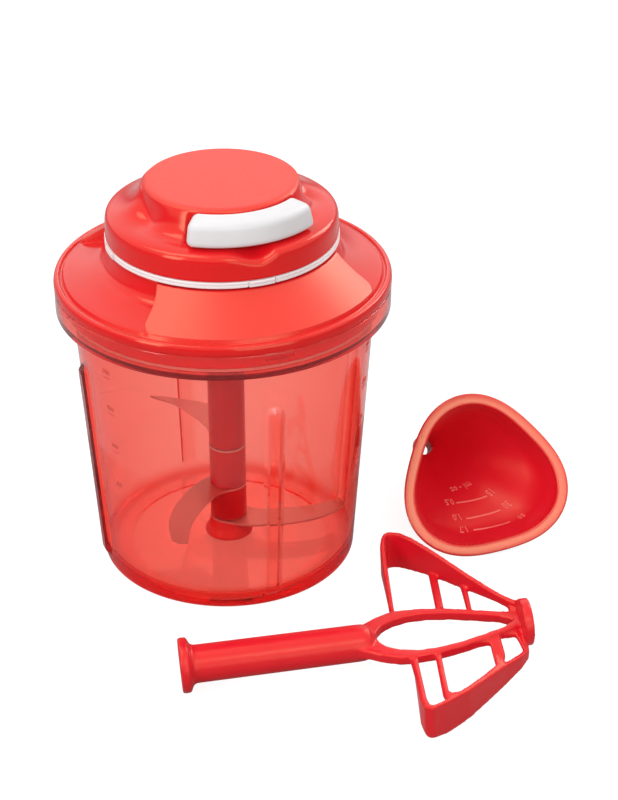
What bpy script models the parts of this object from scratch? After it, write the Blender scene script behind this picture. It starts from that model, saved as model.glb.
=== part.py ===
"""Pull-cord food chopper with its whisk paddle and its funnel cup.

Units are metres and +Z is up. The origin is the middle of the bowl's underside.
The pull handle faces -Y, and azimuths are counted from -Y towards +X.
"""
import math

import bmesh
import bpy
from mathutils import Matrix, Vector

MM = 0.001
GAP = 0.3 * MM

# Sides of round shapes
SMALL_SIDES = 12
BORE_SIDES = 16
PIN_SIDES = 20
DRUM_SIDES = 24
PLATE_SIDES = 30
FUNNEL_SIDES = 36
GASKET_SIDES = 40
RING_SIDES = 52
SPRING_SIDES = 14
CORD_SIDES = 8

# Driving dimensions: widths
BRIM_RADIUS = 84.0 * MM
BASE_RADIUS = 66.2 * MM
CAP_RADIUS = 57.3 * MM
PAD_RADIUS = 37.8 * MM
COLUMN_RADIUS = 9.5 * MM

# Driving dimensions: heights
BOWL_HEIGHT = 154.2 * MM
COVER_RISE = 20.8 * MM
RING_HEIGHT = 3.3 * MM
CAP_SIDE = 12.6 * MM
PAD_RISE = 15.4 * MM

# Bowl
BOWL_WALL = 2.4 * MM
BOWL_FLOOR = 4.0 * MM
FOOT_ROUND = 3.4 * MM
SHELF_WIDTH = 8.4 * MM
COLLAR_INSET = 0.2 * MM
COLLAR_HEIGHT = 12.5 * MM
COLLAR_WALL = 2.5 * MM
COLLAR_ROUND = 0.6 * MM
SHELF_THICKNESS = 2.2 * MM
FLOOR_ROUND = 8.0 * MM
BOSS_RADIUS = 7.4 * MM
BOSS_FOOT_RADIUS = 8.9 * MM
BOSS_HEIGHT = 4.0 * MM
RIB_DEPTH = 2.6 * MM
RIB_HALF_ANGLE = math.radians(4.6)
RIB_TOP = 119.5 * MM
RIB_ROUND = 5.8 * MM
RIB_START = 5.0 * MM
RIB_RAMP = 4.0 * MM
QUARTERS = 4
PIN_RADIUS = 3.0 * MM
PIN_HEIGHT = 24.0 * MM
PIN_SEAT = 2.2 * MM

# Bayonet between the bowl and the cover
SKIRT_CLEARANCE = 2.0 * MM
BAYONET_CLEARANCE = 0.4 * MM
LEDGE_HEIGHT = 1.8 * MM
LEDGE_DROP = 2.9 * MM
LEDGE_HALF_ANGLE = math.radians(5.0)
LUG_HEIGHT = 2.2 * MM
LUG_GAP = 0.5 * MM
LUG_HALF_ANGLE = math.radians(4.0)
LUG_AZIMUTH = math.radians(12.0)
BITE = 1.0 * MM

# Gasket
GASKET_WIDTH = 4.4 * MM
GASKET_HEIGHT = 1.4 * MM

# Cover
BRIM_GAP = 0.6 * MM
NECK_STEP = 1.7 * MM
COVER_WALL = 2.4 * MM
SKIRT_WALL = 2.1 * MM
BRIM_THICKNESS = 4.2 * MM
BRIM_ROUND = 1.2 * MM
GROOVE_INSET = 3.7 * MM
PANEL_INSET = 5.2 * MM
PANEL_HALF_ANGLE = math.radians(49.3)
PANEL_TURN = math.radians(1.2)
PANEL_DROP = 14.6 * MM
PANEL_CORNER = 5.0 * MM
PANEL_EDGE = 0.6 * MM
PLAIN_DROP = 15.4 * MM
COVER_INNER_GAP = 3.1 * MM
FLANGE_INNER = 46.0 * MM
FLANGE_THICKNESS = 2.4 * MM

# Snap ring
RING_WIDTH = 3.2 * MM
RING_GROOVE = 0.45 * MM
RING_OVERHANG = 0.9 * MM
TAB_HALF_ANGLE = math.radians(6.2)
TAB_DEPTH = 0.35 * MM
TAB_INSET = 0.3 * MM

# Cap
CAP_WALL = 2.5 * MM
PAD_EDGE = 1.1 * MM
SEAT_LEVEL = 1.2 * MM
CAP_RIDGE = 2.1 * MM
CAP_BELLY = 4.8 * MM
CAP_INNER_STEP = 4.4 * MM
NOTCH_DEPTH = 4.2 * MM
NOTCH_LEFT_ANGLE = math.radians(14.0)
NOTCH_RIGHT_ANGLE = math.radians(10.5)
SCOOP_FULL = math.radians(80.0)
SCOOP_END = math.radians(98.0)

# Mechanism
PLATE_THICKNESS = 2.4 * MM
PLATE_BOSS = 9.5 * MM
PLATE_BOSS_RISE = 1.6 * MM
PLATE_BOSS_DROP = 2.4 * MM
PLATE_INSET = 0.9 * MM
SPINDLE_RADIUS = 3.6 * MM
BUSH_WALL = 2.3 * MM
BUSH_FLANGE = 2.2 * MM
BUSH_FLANGE_HEIGHT = 1.1 * MM
CUP_RADIUS = 30.5 * MM
CUP_WALL = 1.5 * MM
CUP_FLOOR = 1.2 * MM
CUP_HEIGHT = 10.6 * MM
SPRING_TURNS = 4
SPRING_INNER = 10.2 * MM
SPRING_THICKNESS = 0.7 * MM
SPOOL_FLANGE_RADIUS = 21.0 * MM
SPOOL_HUB_RADIUS = 13.4 * MM
SPOOL_WIDTH = 8.0 * MM
SPOOL_FLANGE = 1.2 * MM
ARBOR_RADIUS = 9.0 * MM
WINDING_DEPTH = 4.6 * MM
CLIP_WIDTH = 2.6 * MM
CLIP_THICKNESS = 0.7 * MM
CORD_RADIUS = 0.8 * MM
EYELET_BORE = 1.5 * MM
EYELET_WALL = 0.9 * MM
EYELET_FLANGE = 1.1 * MM
SCREW_COUNT = 3
SCREW_CIRCLE = 50.0 * MM
SCREW_AZIMUTH = math.radians(25.0)
SCREW_RADIUS = 1.3 * MM
SCREW_HEAD_RADIUS = 3.2 * MM
SCREW_HEAD_HEIGHT = 1.7 * MM
SCREW_DEPTH = 4.1 * MM
DOG_HALF_LENGTH = 6.3 * MM
DOG_HALF_WIDTH = 2.0 * MM
DOG_HEIGHT = 6.0 * MM
SOCKET_RADIUS = 7.0 * MM
SOCKET_DEPTH = 10.2 * MM
SOCKET_RIB = 2.0 * MM
SOCKET_RIB_START = math.radians(42.0)

# Handle
HANDLE_HALF_ANGLE = math.radians(37.6)
HANDLE_INSET = 1.4 * MM
HANDLE_TOP_DEPTH = 11.2 * MM
HANDLE_FRONT_LEAN = 2.6 * MM
HANDLE_TOP_DROP = 0.7 * MM
HANDLE_TOP_SLOPE = 1.5 * MM
HANDLE_FLOAT = 0.7 * MM
HANDLE_ROUND = 2.8 * MM
HANDLE_END_ROUND = 3.6 * MM
KNOT_RADIUS = 2.8 * MM
KNOT_PLACE = 5.0 * MM

# Blade unit
BLADE_THICKNESS = 1.2 * MM
BLADE_LEVELS = {"bottom": 14.6 * MM, "middle": 34.3 * MM, "top": 58.0 * MM}
BLADE_MARGIN = 3.6 * MM
BLADE_GROUND = 2.2 * MM
BLADE_TURN = math.radians(-18.4)
CORE_RADIUS = 5.5 * MM
CORE_RISE = 18.0 * MM
COLUMN_TOP_FLANGE = 1.1 * MM
COLUMN_TOP_GAP = 1.6 * MM
FOOT_RADIUS = 12.6 * MM
FOOT_LIFT = 0.5 * MM

# Whisk paddle, in a frame of its own: along the shaft, across it, and out of the wings' plane
WHISK_PLACE = (39.3 * MM, -140.5 * MM, 18.95 * MM)
WHISK_HEADING = math.radians(-13.2)
WHISK_PITCH = math.radians(3.0)
WHISK_SHAFT_RADIUS = 8.9 * MM
WHISK_FLANGE_RADIUS = 13.3 * MM
WHISK_FLANGE_THICKNESS = 4.6 * MM
WHISK_SHAFT_LENGTH = 94.5 * MM
WHISK_SHAFT_TIP = 6.0 * MM
WHISK_BORE_RADIUS = 6.4 * MM
WHISK_BORE_DEPTH = 46.0 * MM
WHISK_WING_LENGTH = 58.0 * MM
WHISK_WING_WIDTH = 57.0 * MM
WHISK_PLATE = 3.2 * MM
WHISK_BAR = 5.2 * MM
WHISK_STRIP_DEPTH = 20.0 * MM
WHISK_STRIP_WALL = 2.4 * MM
WHISK_NECK = 12.8 * MM
WHISK_HUB_RADIUS = 11.6 * MM
WHISK_HUB_LENGTH = 5.0 * MM

# Funnel cup, in a frame of its own: its mouth plane and the depth behind it
FUNNEL_PLACE = (127.6 * MM, -43.5 * MM, 32.3 * MM)
FUNNEL_AZIMUTH = math.radians(-18.4)
FUNNEL_TILT = math.radians(40.0)
FUNNEL_RADIUS = 43.0 * MM
FUNNEL_CORNER = 3.3 * MM
FUNNEL_CORNERS = 3
FUNNEL_TURN = math.radians(17.0)
FUNNEL_RIM_WIDTH = 5.8 * MM
FUNNEL_RIM_THICKNESS = 2.0 * MM
FUNNEL_WALL = 1.8 * MM
FUNNEL_CUP_DEPTH = 49.0 * MM
FUNNEL_DEPTH = 64.0 * MM
FUNNEL_SPOUT_RADIUS = 6.4 * MM
FUNNEL_SPOUT_TAPER = 1.4 * MM
FUNNEL_SPOUT_PLACE = (-25.5 * MM, 25.0 * MM)

# Heights that follow
COVER_BASE = BOWL_HEIGHT + BRIM_GAP
NECK_TOP = COVER_BASE + COVER_RISE
RING_BASE = NECK_TOP + 2 * GAP
RING_TOP = RING_BASE + RING_HEIGHT
CAP_BASE = RING_TOP + GAP
SHOULDER = CAP_BASE + CAP_SIDE
CAP_TOP = SHOULDER + PAD_RISE
CAP_CEILING = CAP_TOP - CAP_WALL
SEAT = SHOULDER + SEAT_LEVEL
SHELF_TOP = BOWL_HEIGHT - COLLAR_HEIGHT + SHELF_THICKNESS
FLANGE_TOP = NECK_TOP - GAP
PLATE_BASE = FLANGE_TOP + GAP
PLATE_TOP = PLATE_BASE + PLATE_THICKNESS
CUP_BASE = PLATE_TOP + PLATE_BOSS_RISE + GAP
SPINDLE_TOP = CAP_CEILING - GAP
SPOOL_TOP = SPINDLE_TOP - CLIP_THICKNESS - 2 * GAP
SPOOL_BASE = SPOOL_TOP - SPOOL_WIDTH
CORD_LEVEL = SPOOL_TOP - SPOOL_WIDTH / 2
COLUMN_TOP = PLATE_BASE - PLATE_BOSS_DROP - BUSH_FLANGE_HEIGHT - COLUMN_TOP_GAP

# Radii that follow
COLLAR_RADIUS = BRIM_RADIUS - COLLAR_INSET
COLLAR_INNER = COLLAR_RADIUS - COLLAR_WALL
WALL_TOP_RADIUS = BRIM_RADIUS - SHELF_WIDTH
SKIRT_RADIUS = COLLAR_INNER - SKIRT_CLEARANCE
NECK_RADIUS = CAP_RADIUS + NECK_STEP
BLADE_REACH = BASE_RADIUS - BLADE_MARGIN
WINDING_RADIUS = SPOOL_HUB_RADIUS + WINDING_DEPTH
SPINDLE_BORE = SPINDLE_RADIUS + GAP
CORE_BORE = CORE_RADIUS + GAP


def azimuth_place(radius, azimuth, height):
    """Return the point at a radius, an azimuth and a height."""
    return Vector((radius * math.sin(azimuth), -radius * math.cos(azimuth), height))


def mix(first, second, weight):
    """Return the value between two, a share of the way along."""
    return first + (second - first) * weight


def ease(value):
    """Return a smooth step from 0 to 1."""
    value = min(1.0, max(0.0, value))
    return value * value * (3.0 - 2.0 * value)


def even_turn(count):
    """Return evenly spaced azimuths all the way round."""
    return [2 * math.pi * index / count for index in range(count)]


def make_material(name, color, roughness, metallic=0.0, alpha=1.0):
    """Return a Principled material."""
    material = bpy.data.materials.new(name)
    material.use_nodes = True
    shader = material.node_tree.nodes["Principled BSDF"]
    shader.inputs["Base Color"].default_value = (*color, 1.0)
    shader.inputs["Roughness"].default_value = roughness
    shader.inputs["Metallic"].default_value = metallic
    shader.inputs["Alpha"].default_value = alpha
    return material


def finish(mesh, name, material, smooth_angle=math.radians(35.0)):
    """Turn a bmesh into a named object with its faces pointing out."""
    bmesh.ops.recalc_face_normals(mesh, faces=mesh.faces[:])
    data = bpy.data.meshes.new(name)
    mesh.to_mesh(data)
    mesh.free()
    data.shade_smooth()
    data.set_sharp_from_angle(angle=smooth_angle)
    if material:
        data.materials.append(material)
    item = bpy.data.objects.new(name, data)
    bpy.context.collection.objects.link(item)
    return item


def lathe(name, azimuths, rows_at, material, poles=None):
    """Build a turned solid, whose section may change with the azimuth.

    rows_at gives the section's points at an azimuth. Without poles the section is a closed
    loop. With poles it runs from the first height on the axis to the second.
    """
    mesh = bmesh.new()
    columns = [
        [mesh.verts.new(azimuth_place(radius, azimuth, height)) for radius, height in rows_at(azimuth)]
        for azimuth in azimuths
    ]
    rows = len(columns[0])
    spans = rows if poles is None else rows - 1
    for index, here in enumerate(columns):
        there = columns[(index + 1) % len(columns)]
        for row in range(spans):
            above = (row + 1) % rows
            mesh.faces.new((here[row], there[row], there[above], here[above]))
    if poles:
        for height, row in zip(poles, (0, rows - 1)):
            centre = mesh.verts.new((0.0, 0.0, height))
            for index, here in enumerate(columns):
                there = columns[(index + 1) % len(columns)]
                mesh.faces.new((centre, here[row], there[row]))
    return finish(mesh, name, material)


def turned(name, section, count, material, poles=None):
    """Build a plain turned solid from one section."""
    return lathe(name, even_turn(count), lambda azimuth: section, material, poles)


def rectangle(inner, outer, low, high):
    """Return the section of a ring."""
    return [(outer, low), (outer, high), (inner, high), (inner, low)]


def arc_block(name, inner, outer, low, high, centre, half_angle, steps=2):
    """Build a block bent round the axis."""
    mesh = bmesh.new()
    sections = []
    for step in range(steps + 1):
        azimuth = centre + half_angle * (2.0 * step / steps - 1.0)
        corners = rectangle(inner, outer, low, high)
        sections.append([mesh.verts.new(azimuth_place(r, azimuth, z)) for r, z in corners])
    loft(mesh, sections)
    return finish(mesh, name, None)


def loft(mesh, sections):
    """Skin closed sections in a row and close both ends."""
    count = len(sections[0])
    for here, there in zip(sections, sections[1:]):
        for index in range(count):
            following = (index + 1) % count
            mesh.faces.new((here[index], here[following], there[following], there[index]))
    mesh.faces.new(sections[0])
    mesh.faces.new(sections[-1][::-1])


def tube(name, points, radius, sides, material):
    """Build a round solid along points."""
    mesh = bmesh.new()
    sections = []
    points = [Vector(point) for point in points]
    for index, point in enumerate(points):
        ahead = points[min(index + 1, len(points) - 1)]
        behind = points[max(index - 1, 0)]
        along = (ahead - behind).normalized()
        side = along.cross(Vector((0.0, 0.0, 1.0))).normalized()
        up = side.cross(along)
        turns = even_turn(sides)
        places = [point + radius * (side * math.cos(turn) + up * math.sin(turn)) for turn in turns]
        sections.append([mesh.verts.new(place) for place in places])
    loft(mesh, sections)
    return finish(mesh, name, material)


def prism(name, outline, low, high, material):
    """Build an upright solid from a flat outline."""
    mesh = bmesh.new()
    sections = [[mesh.verts.new((x, y, z)) for x, y in outline] for z in (low, high)]
    loft(mesh, sections)
    return finish(mesh, name, material)


def rod(name, radius, low, high, count, material):
    """Build a plain upright cylinder."""
    return turned(name, [(radius, low), (radius, high)], count, material, poles=(low, high))


def combine(target, tool, operation):
    """Add or cut away a hidden shape with a Boolean."""
    tool.hide_render = True
    tool.display_type = "WIRE"
    modifier = target.modifiers.new(tool.name, "BOOLEAN")
    modifier.operation = operation
    modifier.solver = "EXACT"
    modifier.object = tool
    return target


def wall_radius(height):
    """Return the bowl wall's outer radius at a height."""
    shelf = BOWL_HEIGHT - COLLAR_HEIGHT
    return mix(BASE_RADIUS, WALL_TOP_RADIUS, height / shelf)


def rib_bulge(azimuth, height, width_share=1.0):
    """Return how far the nearest upright rib stands out of the wall, or its hollow on the inside."""
    quarter = 2 * math.pi / QUARTERS
    away = abs((azimuth + quarter / 2) % quarter - quarter / 2) / (RIB_HALF_ANGLE * width_share)
    over = max(0.0, height - (RIB_TOP - RIB_ROUND)) / (RIB_ROUND * width_share)
    ramp = min(1.0, max(0.0, height - RIB_START) / RIB_RAMP)
    return RIB_DEPTH * ramp * math.sqrt(max(0.0, 1.0 - away * away - over * over))


def bowl_azimuths():
    """Return azimuths that are closer together at the four ribs."""
    rib_shares = (-1.06, -0.9, -0.52, 0.0, 0.52, 0.9, 1.06)
    between = 6
    edge = RIB_HALF_ANGLE * rib_shares[-1]
    quarter = 2 * math.pi / QUARTERS
    azimuths = []
    for turn in range(QUARTERS):
        azimuths += [turn * quarter + RIB_HALF_ANGLE * share for share in rib_shares]
        step = (quarter - 2 * edge) / (between + 1)
        azimuths += [turn * quarter + edge + step * (index + 1) for index in range(between)]
    return azimuths


def bowl_rows(azimuth):
    """Return the bowl's section, from its underside up the outside and down the inside to the pin's bore."""
    shelf = BOWL_HEIGHT - COLLAR_HEIGHT
    rib_round_shares = (0.0, 0.5, 0.85, 1.0)
    hollow_share = 0.75
    hollow_round_shares = (0.75, 0.5, 0.0)
    rows = [
        (BASE_RADIUS - FOOT_ROUND, 0.0),
        (BASE_RADIUS - FOOT_ROUND / 3, FOOT_ROUND / 4),
        (wall_radius(FOOT_ROUND), FOOT_ROUND),
    ]
    rib_heights = [RIB_START, RIB_START + RIB_RAMP]
    rib_heights += [mix(RIB_TOP - RIB_ROUND, RIB_TOP, share) for share in rib_round_shares]
    rows += [(wall_radius(height) + rib_bulge(azimuth, height), height) for height in rib_heights]
    rows += [
        (WALL_TOP_RADIUS, shelf - SHELF_THICKNESS),
        (WALL_TOP_RADIUS + COLLAR_ROUND * 2, shelf - COLLAR_ROUND),
        (COLLAR_RADIUS - COLLAR_ROUND, shelf),
        (COLLAR_RADIUS, shelf + COLLAR_ROUND),
        (COLLAR_RADIUS, BOWL_HEIGHT - COLLAR_ROUND),
        (COLLAR_RADIUS - COLLAR_ROUND, BOWL_HEIGHT),
        (COLLAR_INNER, BOWL_HEIGHT),
        (COLLAR_INNER, SHELF_TOP),
        (WALL_TOP_RADIUS - BOWL_WALL + COLLAR_ROUND, SHELF_TOP),
        (WALL_TOP_RADIUS - BOWL_WALL, SHELF_TOP - COLLAR_ROUND * 2),
    ]
    for share in hollow_round_shares:
        height = mix(RIB_TOP - RIB_ROUND, RIB_TOP, share)
        rows.append((wall_radius(height) - BOWL_WALL + rib_bulge(azimuth, height, hollow_share), height))
    bend = BOWL_FLOOR + FLOOR_ROUND
    inner = wall_radius(bend) - BOWL_WALL
    floor_shares = ((0.0, 0.0), (0.13, 0.5), (0.45, 0.87), (1.0, 1.0))
    for across, down in floor_shares:
        height = bend - FLOOR_ROUND * down
        rows.append((inner - FLOOR_ROUND * across + rib_bulge(azimuth, height, hollow_share), height))
    boss_top = BOWL_FLOOR + BOSS_HEIGHT
    bore = PIN_RADIUS + GAP
    rows += [(BOSS_FOOT_RADIUS, BOWL_FLOOR), (BOSS_RADIUS, boss_top), (bore, boss_top), (bore, PIN_SEAT)]
    return rows


def build_bowl(material):
    """Build the bowl with its collar, its ledges, its ribs and its middle boss."""
    bowl = lathe("bowl", bowl_azimuths(), bowl_rows, material, poles=(0.0, PIN_SEAT))
    high = BOWL_HEIGHT - LEDGE_DROP
    for turn in range(QUARTERS):
        azimuth = turn * 2 * math.pi / QUARTERS
        inner = SKIRT_RADIUS + BAYONET_CLEARANCE
        outer = COLLAR_INNER + BITE
        name = f"ledge_shape_{turn}"
        ledge = arc_block(name, inner, outer, high - LEDGE_HEIGHT, high, azimuth, LEDGE_HALF_ANGLE)
        combine(bowl, ledge, "UNION")
    return bowl


def panel_distance(azimuth, radius):
    """Return how far a place on the cover lies inside the nearer grip panel's edge."""
    away = abs(math.remainder(azimuth - PANEL_TURN, math.pi))
    side = radius * (PANEL_HALF_ANGLE - away)
    down = BRIM_RADIUS - PANEL_INSET - radius
    if side < PANEL_CORNER and down < PANEL_CORNER:
        return PANEL_CORNER - math.hypot(PANEL_CORNER - side, PANEL_CORNER - down)
    return side


def cover_azimuths():
    """Return azimuths that are closer together at the grip panels' sides."""
    side_shares = (-0.12, -0.07, -0.035, -0.009, 0.009, 0.04)
    panel_steps = 8
    gap_steps = 6
    azimuths = []
    for middle in (PANEL_TURN, PANEL_TURN + math.pi):
        low = PANEL_HALF_ANGLE * (1 + side_shares[0])
        azimuths += [middle + mix(-low, low, (step + 0.5) / panel_steps) for step in range(panel_steps)]
        azimuths += [middle + PANEL_HALF_ANGLE * (1 + share) for share in side_shares]
        start = PANEL_HALF_ANGLE * (1 + side_shares[-1])
        end = math.pi - start
        azimuths += [middle + mix(start, end, (step + 0.5) / gap_steps) for step in range(gap_steps)]
        azimuths += [middle + math.pi - PANEL_HALF_ANGLE * (1 + share) for share in side_shares[::-1]]
    return azimuths


def cover_rows(azimuth):
    """Return the cover's section, from its neck down the outside and up the inside."""
    top_of_cone = BRIM_RADIUS - PANEL_INSET
    panel_low = NECK_TOP - PANEL_DROP
    plain_low = NECK_TOP - PLAIN_DROP
    neck = CAP_RADIUS - RING_OVERHANG
    # Shares of the way from the neck to the panel's lower edge, with the plain surface's fall
    cone_shares = ((0.06, 0.20, 0.22), (0.14, 0.36, 0.34), (0.30, 0.48, 0.45), (0.55, 0.68, 0.66),
                   (0.78, 0.84, 0.82), (0.92, 0.93, 0.94), (1.0, 1.0, 1.0))
    plain_start_share = 0.16
    rows = [(neck - RING_WIDTH + GAP, NECK_TOP)]
    rows.append((mix(neck - GAP, NECK_RADIUS - BRIM_ROUND / 2, panel_weight(azimuth, NECK_RADIUS)), NECK_TOP))
    for along, fall, spread in cone_shares:
        panel = (mix(NECK_RADIUS, top_of_cone, along), mix(NECK_TOP - COLLAR_ROUND, panel_low, along))
        plain_radius = mix(neck, top_of_cone, plain_start_share * spread + (1 - plain_start_share) * along)
        plain = (plain_radius, mix(NECK_TOP - COLLAR_ROUND, plain_low, math.sqrt(fall)))
        weight = panel_weight(azimuth, panel[0])
        rows.append((mix(plain[0], panel[0], weight), mix(plain[1], panel[1], weight)))
    groove = COVER_BASE + BRIM_THICKNESS
    rows += [
        (BRIM_RADIUS - GROOVE_INSET, groove + GAP),
        (BRIM_RADIUS - GROOVE_INSET + BRIM_ROUND, groove),
        (BRIM_RADIUS - BRIM_ROUND, groove),
        (BRIM_RADIUS - GAP, groove - BRIM_ROUND),
        (BRIM_RADIUS, COVER_BASE + GAP),
        (BRIM_RADIUS - GAP, COVER_BASE),
        (SKIRT_RADIUS, COVER_BASE),
    ]
    skirt_low = SHELF_TOP + GASKET_HEIGHT + 2 * GAP
    inside = SKIRT_RADIUS - SKIRT_WALL
    neck_inside = neck - COVER_WALL
    rows += [
        (SKIRT_RADIUS, skirt_low),
        (inside, skirt_low),
        (inside, COVER_BASE + GAP),
    ]
    # Shares of the way out from the neck, then of the plain surface's fall and of the panel's lift
    lift_shares = ((0.88, 0.90, 1.0), (0.35, 0.52, 1.0), (0.0, 0.40, 0.0))
    for along, fall, lift in lift_shares:
        radius = mix(neck_inside, inside, along)
        plain = mix(NECK_TOP, plain_low, fall) - COVER_INNER_GAP
        raised = mix(NECK_TOP, panel_low, along) - COVER_INNER_GAP
        weight = lift * ease((panel_distance(azimuth, radius) - COVER_WALL) / PANEL_EDGE)
        rows.append((radius, mix(plain, max(plain, raised), weight)))
    rows += [
        (neck_inside, FLANGE_TOP - FLANGE_THICKNESS),
        (FLANGE_INNER, FLANGE_TOP - FLANGE_THICKNESS),
        (FLANGE_INNER, FLANGE_TOP),
        (neck - RING_WIDTH, FLANGE_TOP),
    ]
    return rows


def panel_weight(azimuth, radius):
    """Return 1 on a grip panel and 0 beside it."""
    return ease(panel_distance(azimuth, radius) / PANEL_EDGE + 0.5)


def build_cover(material):
    """Build the cover with its grip panels, its skirt and its four lugs."""
    cover = lathe("lid_cover", cover_azimuths(), cover_rows, material)
    high = BOWL_HEIGHT - LEDGE_DROP - LEDGE_HEIGHT - LUG_GAP
    for turn in range(QUARTERS):
        azimuth = LUG_AZIMUTH + turn * 2 * math.pi / QUARTERS
        outer = COLLAR_INNER - BAYONET_CLEARANCE
        name = f"lug_shape_{turn}"
        lug = arc_block(name, SKIRT_RADIUS - BITE, outer, high - LUG_HEIGHT, high, azimuth, LUG_HALF_ANGLE)
        combine(cover, lug, "UNION")
    for turn in range(SCREW_COUNT):
        low = FLANGE_TOP - FLANGE_THICKNESS - BITE
        hole = rod(f"screw_hole_{turn}", SCREW_RADIUS + 2 * GAP, low, FLANGE_TOP + BITE, SMALL_SIDES, None)
        hole.location = screw_place(turn)
        combine(cover, hole, "DIFFERENCE")
    return cover


def screw_place(turn):
    """Return where a base screw stands."""
    return azimuth_place(SCREW_CIRCLE, SCREW_AZIMUTH + turn * 2 * math.pi / SCREW_COUNT, 0.0)


def build_gasket(material):
    """Build the sealing ring under the cover's skirt."""
    outer = SKIRT_RADIUS - GAP
    section = rectangle(outer - GASKET_WIDTH, outer, SHELF_TOP + GAP, SHELF_TOP + GAP + GASKET_HEIGHT)
    return turned("lid_gasket", section, GASKET_SIDES, material)


def build_ring(material):
    """Build the snap ring with its groove and its four tabs."""
    outer = CAP_RADIUS + RING_OVERHANG
    middle = (RING_BASE + RING_TOP) / 2
    section = [
        (outer - GAP, RING_BASE),
        (outer, RING_BASE + GAP),
        (outer, middle - GAP),
        (outer - RING_GROOVE, middle),
        (outer, middle + GAP),
        (outer - GAP, RING_TOP),
        (outer - RING_WIDTH, RING_TOP),
        (outer - RING_WIDTH, RING_BASE),
    ]
    ring = turned("snap_ring", section, RING_SIDES, material)
    for turn in range(QUARTERS):
        azimuth = turn * 2 * math.pi / QUARTERS
        low = RING_BASE + TAB_INSET
        high = RING_TOP - TAB_INSET
        name = f"tab_shape_{turn}"
        tab = arc_block(name, outer - BITE, outer + TAB_DEPTH, low, high, azimuth, TAB_HALF_ANGLE)
        combine(ring, tab, "UNION")
    return ring


def cap_azimuths():
    """Return azimuths that are closer together at the notch under the handle."""
    notch_steps = 4
    scoop_steps = 9
    end_steps = 3
    back_steps = 17
    sides = []
    for notch_angle in (NOTCH_LEFT_ANGLE, NOTCH_RIGHT_ANGLE):
        side = [notch_angle * (step + 1) / notch_steps for step in range(notch_steps)]
        side += [mix(notch_angle, SCOOP_FULL, (step + 1) / scoop_steps) for step in range(scoop_steps)]
        side += [mix(SCOOP_FULL, SCOOP_END, (step + 1) / end_steps) for step in range(end_steps)]
        sides.append(side)
    left, right = sides
    back_turn = 2 * math.pi - 2 * SCOOP_END
    back = [SCOOP_END + back_turn * (step + 1) / (back_steps + 1) for step in range(back_steps)]
    return [0.0] + right + back + [2 * math.pi - azimuth for azimuth in left[::-1]]


def cap_rows(azimuth):
    """Return the cap's section up the outside, and its section down the inside."""
    away = abs(math.remainder(azimuth, 2 * math.pi))
    scoop = 1.0 - ease((away - SCOOP_FULL) / (SCOOP_END - SCOOP_FULL))
    notch_angle = NOTCH_LEFT_ANGLE if azimuth > math.pi or azimuth < 0 else NOTCH_RIGHT_ANGLE
    notch = 0.0
    if away < notch_angle:
        notch = NOTCH_DEPTH * math.cos(math.pi / 2 * away / notch_angle) ** 2
    slope = CAP_RADIUS - PAD_RADIUS
    # Each row: shares of the slope's width, then of the rise, plain and scooped, then of the notch
    slope_shares = (
        (0.94, 0.93, -0.04, -0.03, 1.0, 1.0),
        (0.86, 0.86, 0.0, 0.0, 1.0, 1.0),
        (0.68, 0.70, 0.09, 0.05, 0.9, 0.9),
        (0.47, 0.47, 0.23, 0.07, 0.6, 0.6),
        (0.29, 0.27, 0.42, 0.07, 0.25, 0.25),
        (0.16, 0.135, 0.64, 0.09, 0.0, 0.0),
        (0.075, 0.06, 0.84, 0.24, 0.0, 0.0),
        (0.03, 0.03, 0.93, 0.85, 0.0, 0.0),
    )
    outside = [
        (CAP_RADIUS - BRIM_ROUND / 2, CAP_BASE),
        (CAP_RADIUS - GAP, CAP_BASE + COLLAR_ROUND),
        (CAP_RADIUS, CAP_BASE + CAP_BELLY),
        (CAP_RADIUS - GAP, SHOULDER - CAP_RIDGE - notch),
    ]
    for plain, scooped, rise, seat, plain_drop, scooped_drop in slope_shares:
        radius = PAD_RADIUS + slope * mix(plain, scooped, scoop)
        height = SHOULDER + PAD_RISE * mix(rise, seat, scoop) - notch * mix(plain_drop, scooped_drop, scoop)
        outside.append((radius, height))
    outside += [
        (PAD_RADIUS - GAP, CAP_TOP - PAD_EDGE / 2),
        (PAD_RADIUS - PAD_EDGE, CAP_TOP),
    ]
    ceiling_radius = PAD_RADIUS - CAP_WALL
    side_inner = CAP_RADIUS - CAP_WALL
    inner_shares = (
        (0.00, 0.00, 1.00, 1.00, 0.0),
        (0.08, 0.05, 0.95, 0.78, 0.0),
        (0.20, 0.07, 0.75, 0.10, 0.0),
        (0.38, 0.30, 0.48, 0.03, 0.2),
        (0.62, 0.60, 0.20, 0.02, 0.6),
        (0.88, 0.86, 0.02, -0.02, 1.0),
    )
    low = SHOULDER - CAP_WALL
    inside = []
    for plain, scooped, rise, seat, drop in inner_shares:
        radius = mix(ceiling_radius - PAD_EDGE, side_inner, mix(plain, scooped, scoop))
        height = mix(low, CAP_CEILING, mix(rise, seat, scoop)) - notch * drop
        inside.append((radius, height))
    inside += [
        (side_inner, CAP_BASE + CAP_INNER_STEP),
        (side_inner - GAP, CAP_BASE),
    ]
    return outside, inside


def build_cap(material):
    """Build the cap, which is open underneath, with the cord's hole in its scoop."""
    cap = lathe_shell("cap_housing", cap_azimuths(), cap_rows, material)
    hole = rod("cord_hole", EYELET_BORE + EYELET_WALL + GAP, 0.0, PAD_RADIUS, BORE_SIDES, None)
    hole.rotation_euler = (math.pi / 2, 0.0, 0.0)
    hole.location = (0.0, -PAD_RADIUS / 2, CORD_LEVEL)
    return combine(cap, hole, "DIFFERENCE")


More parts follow.
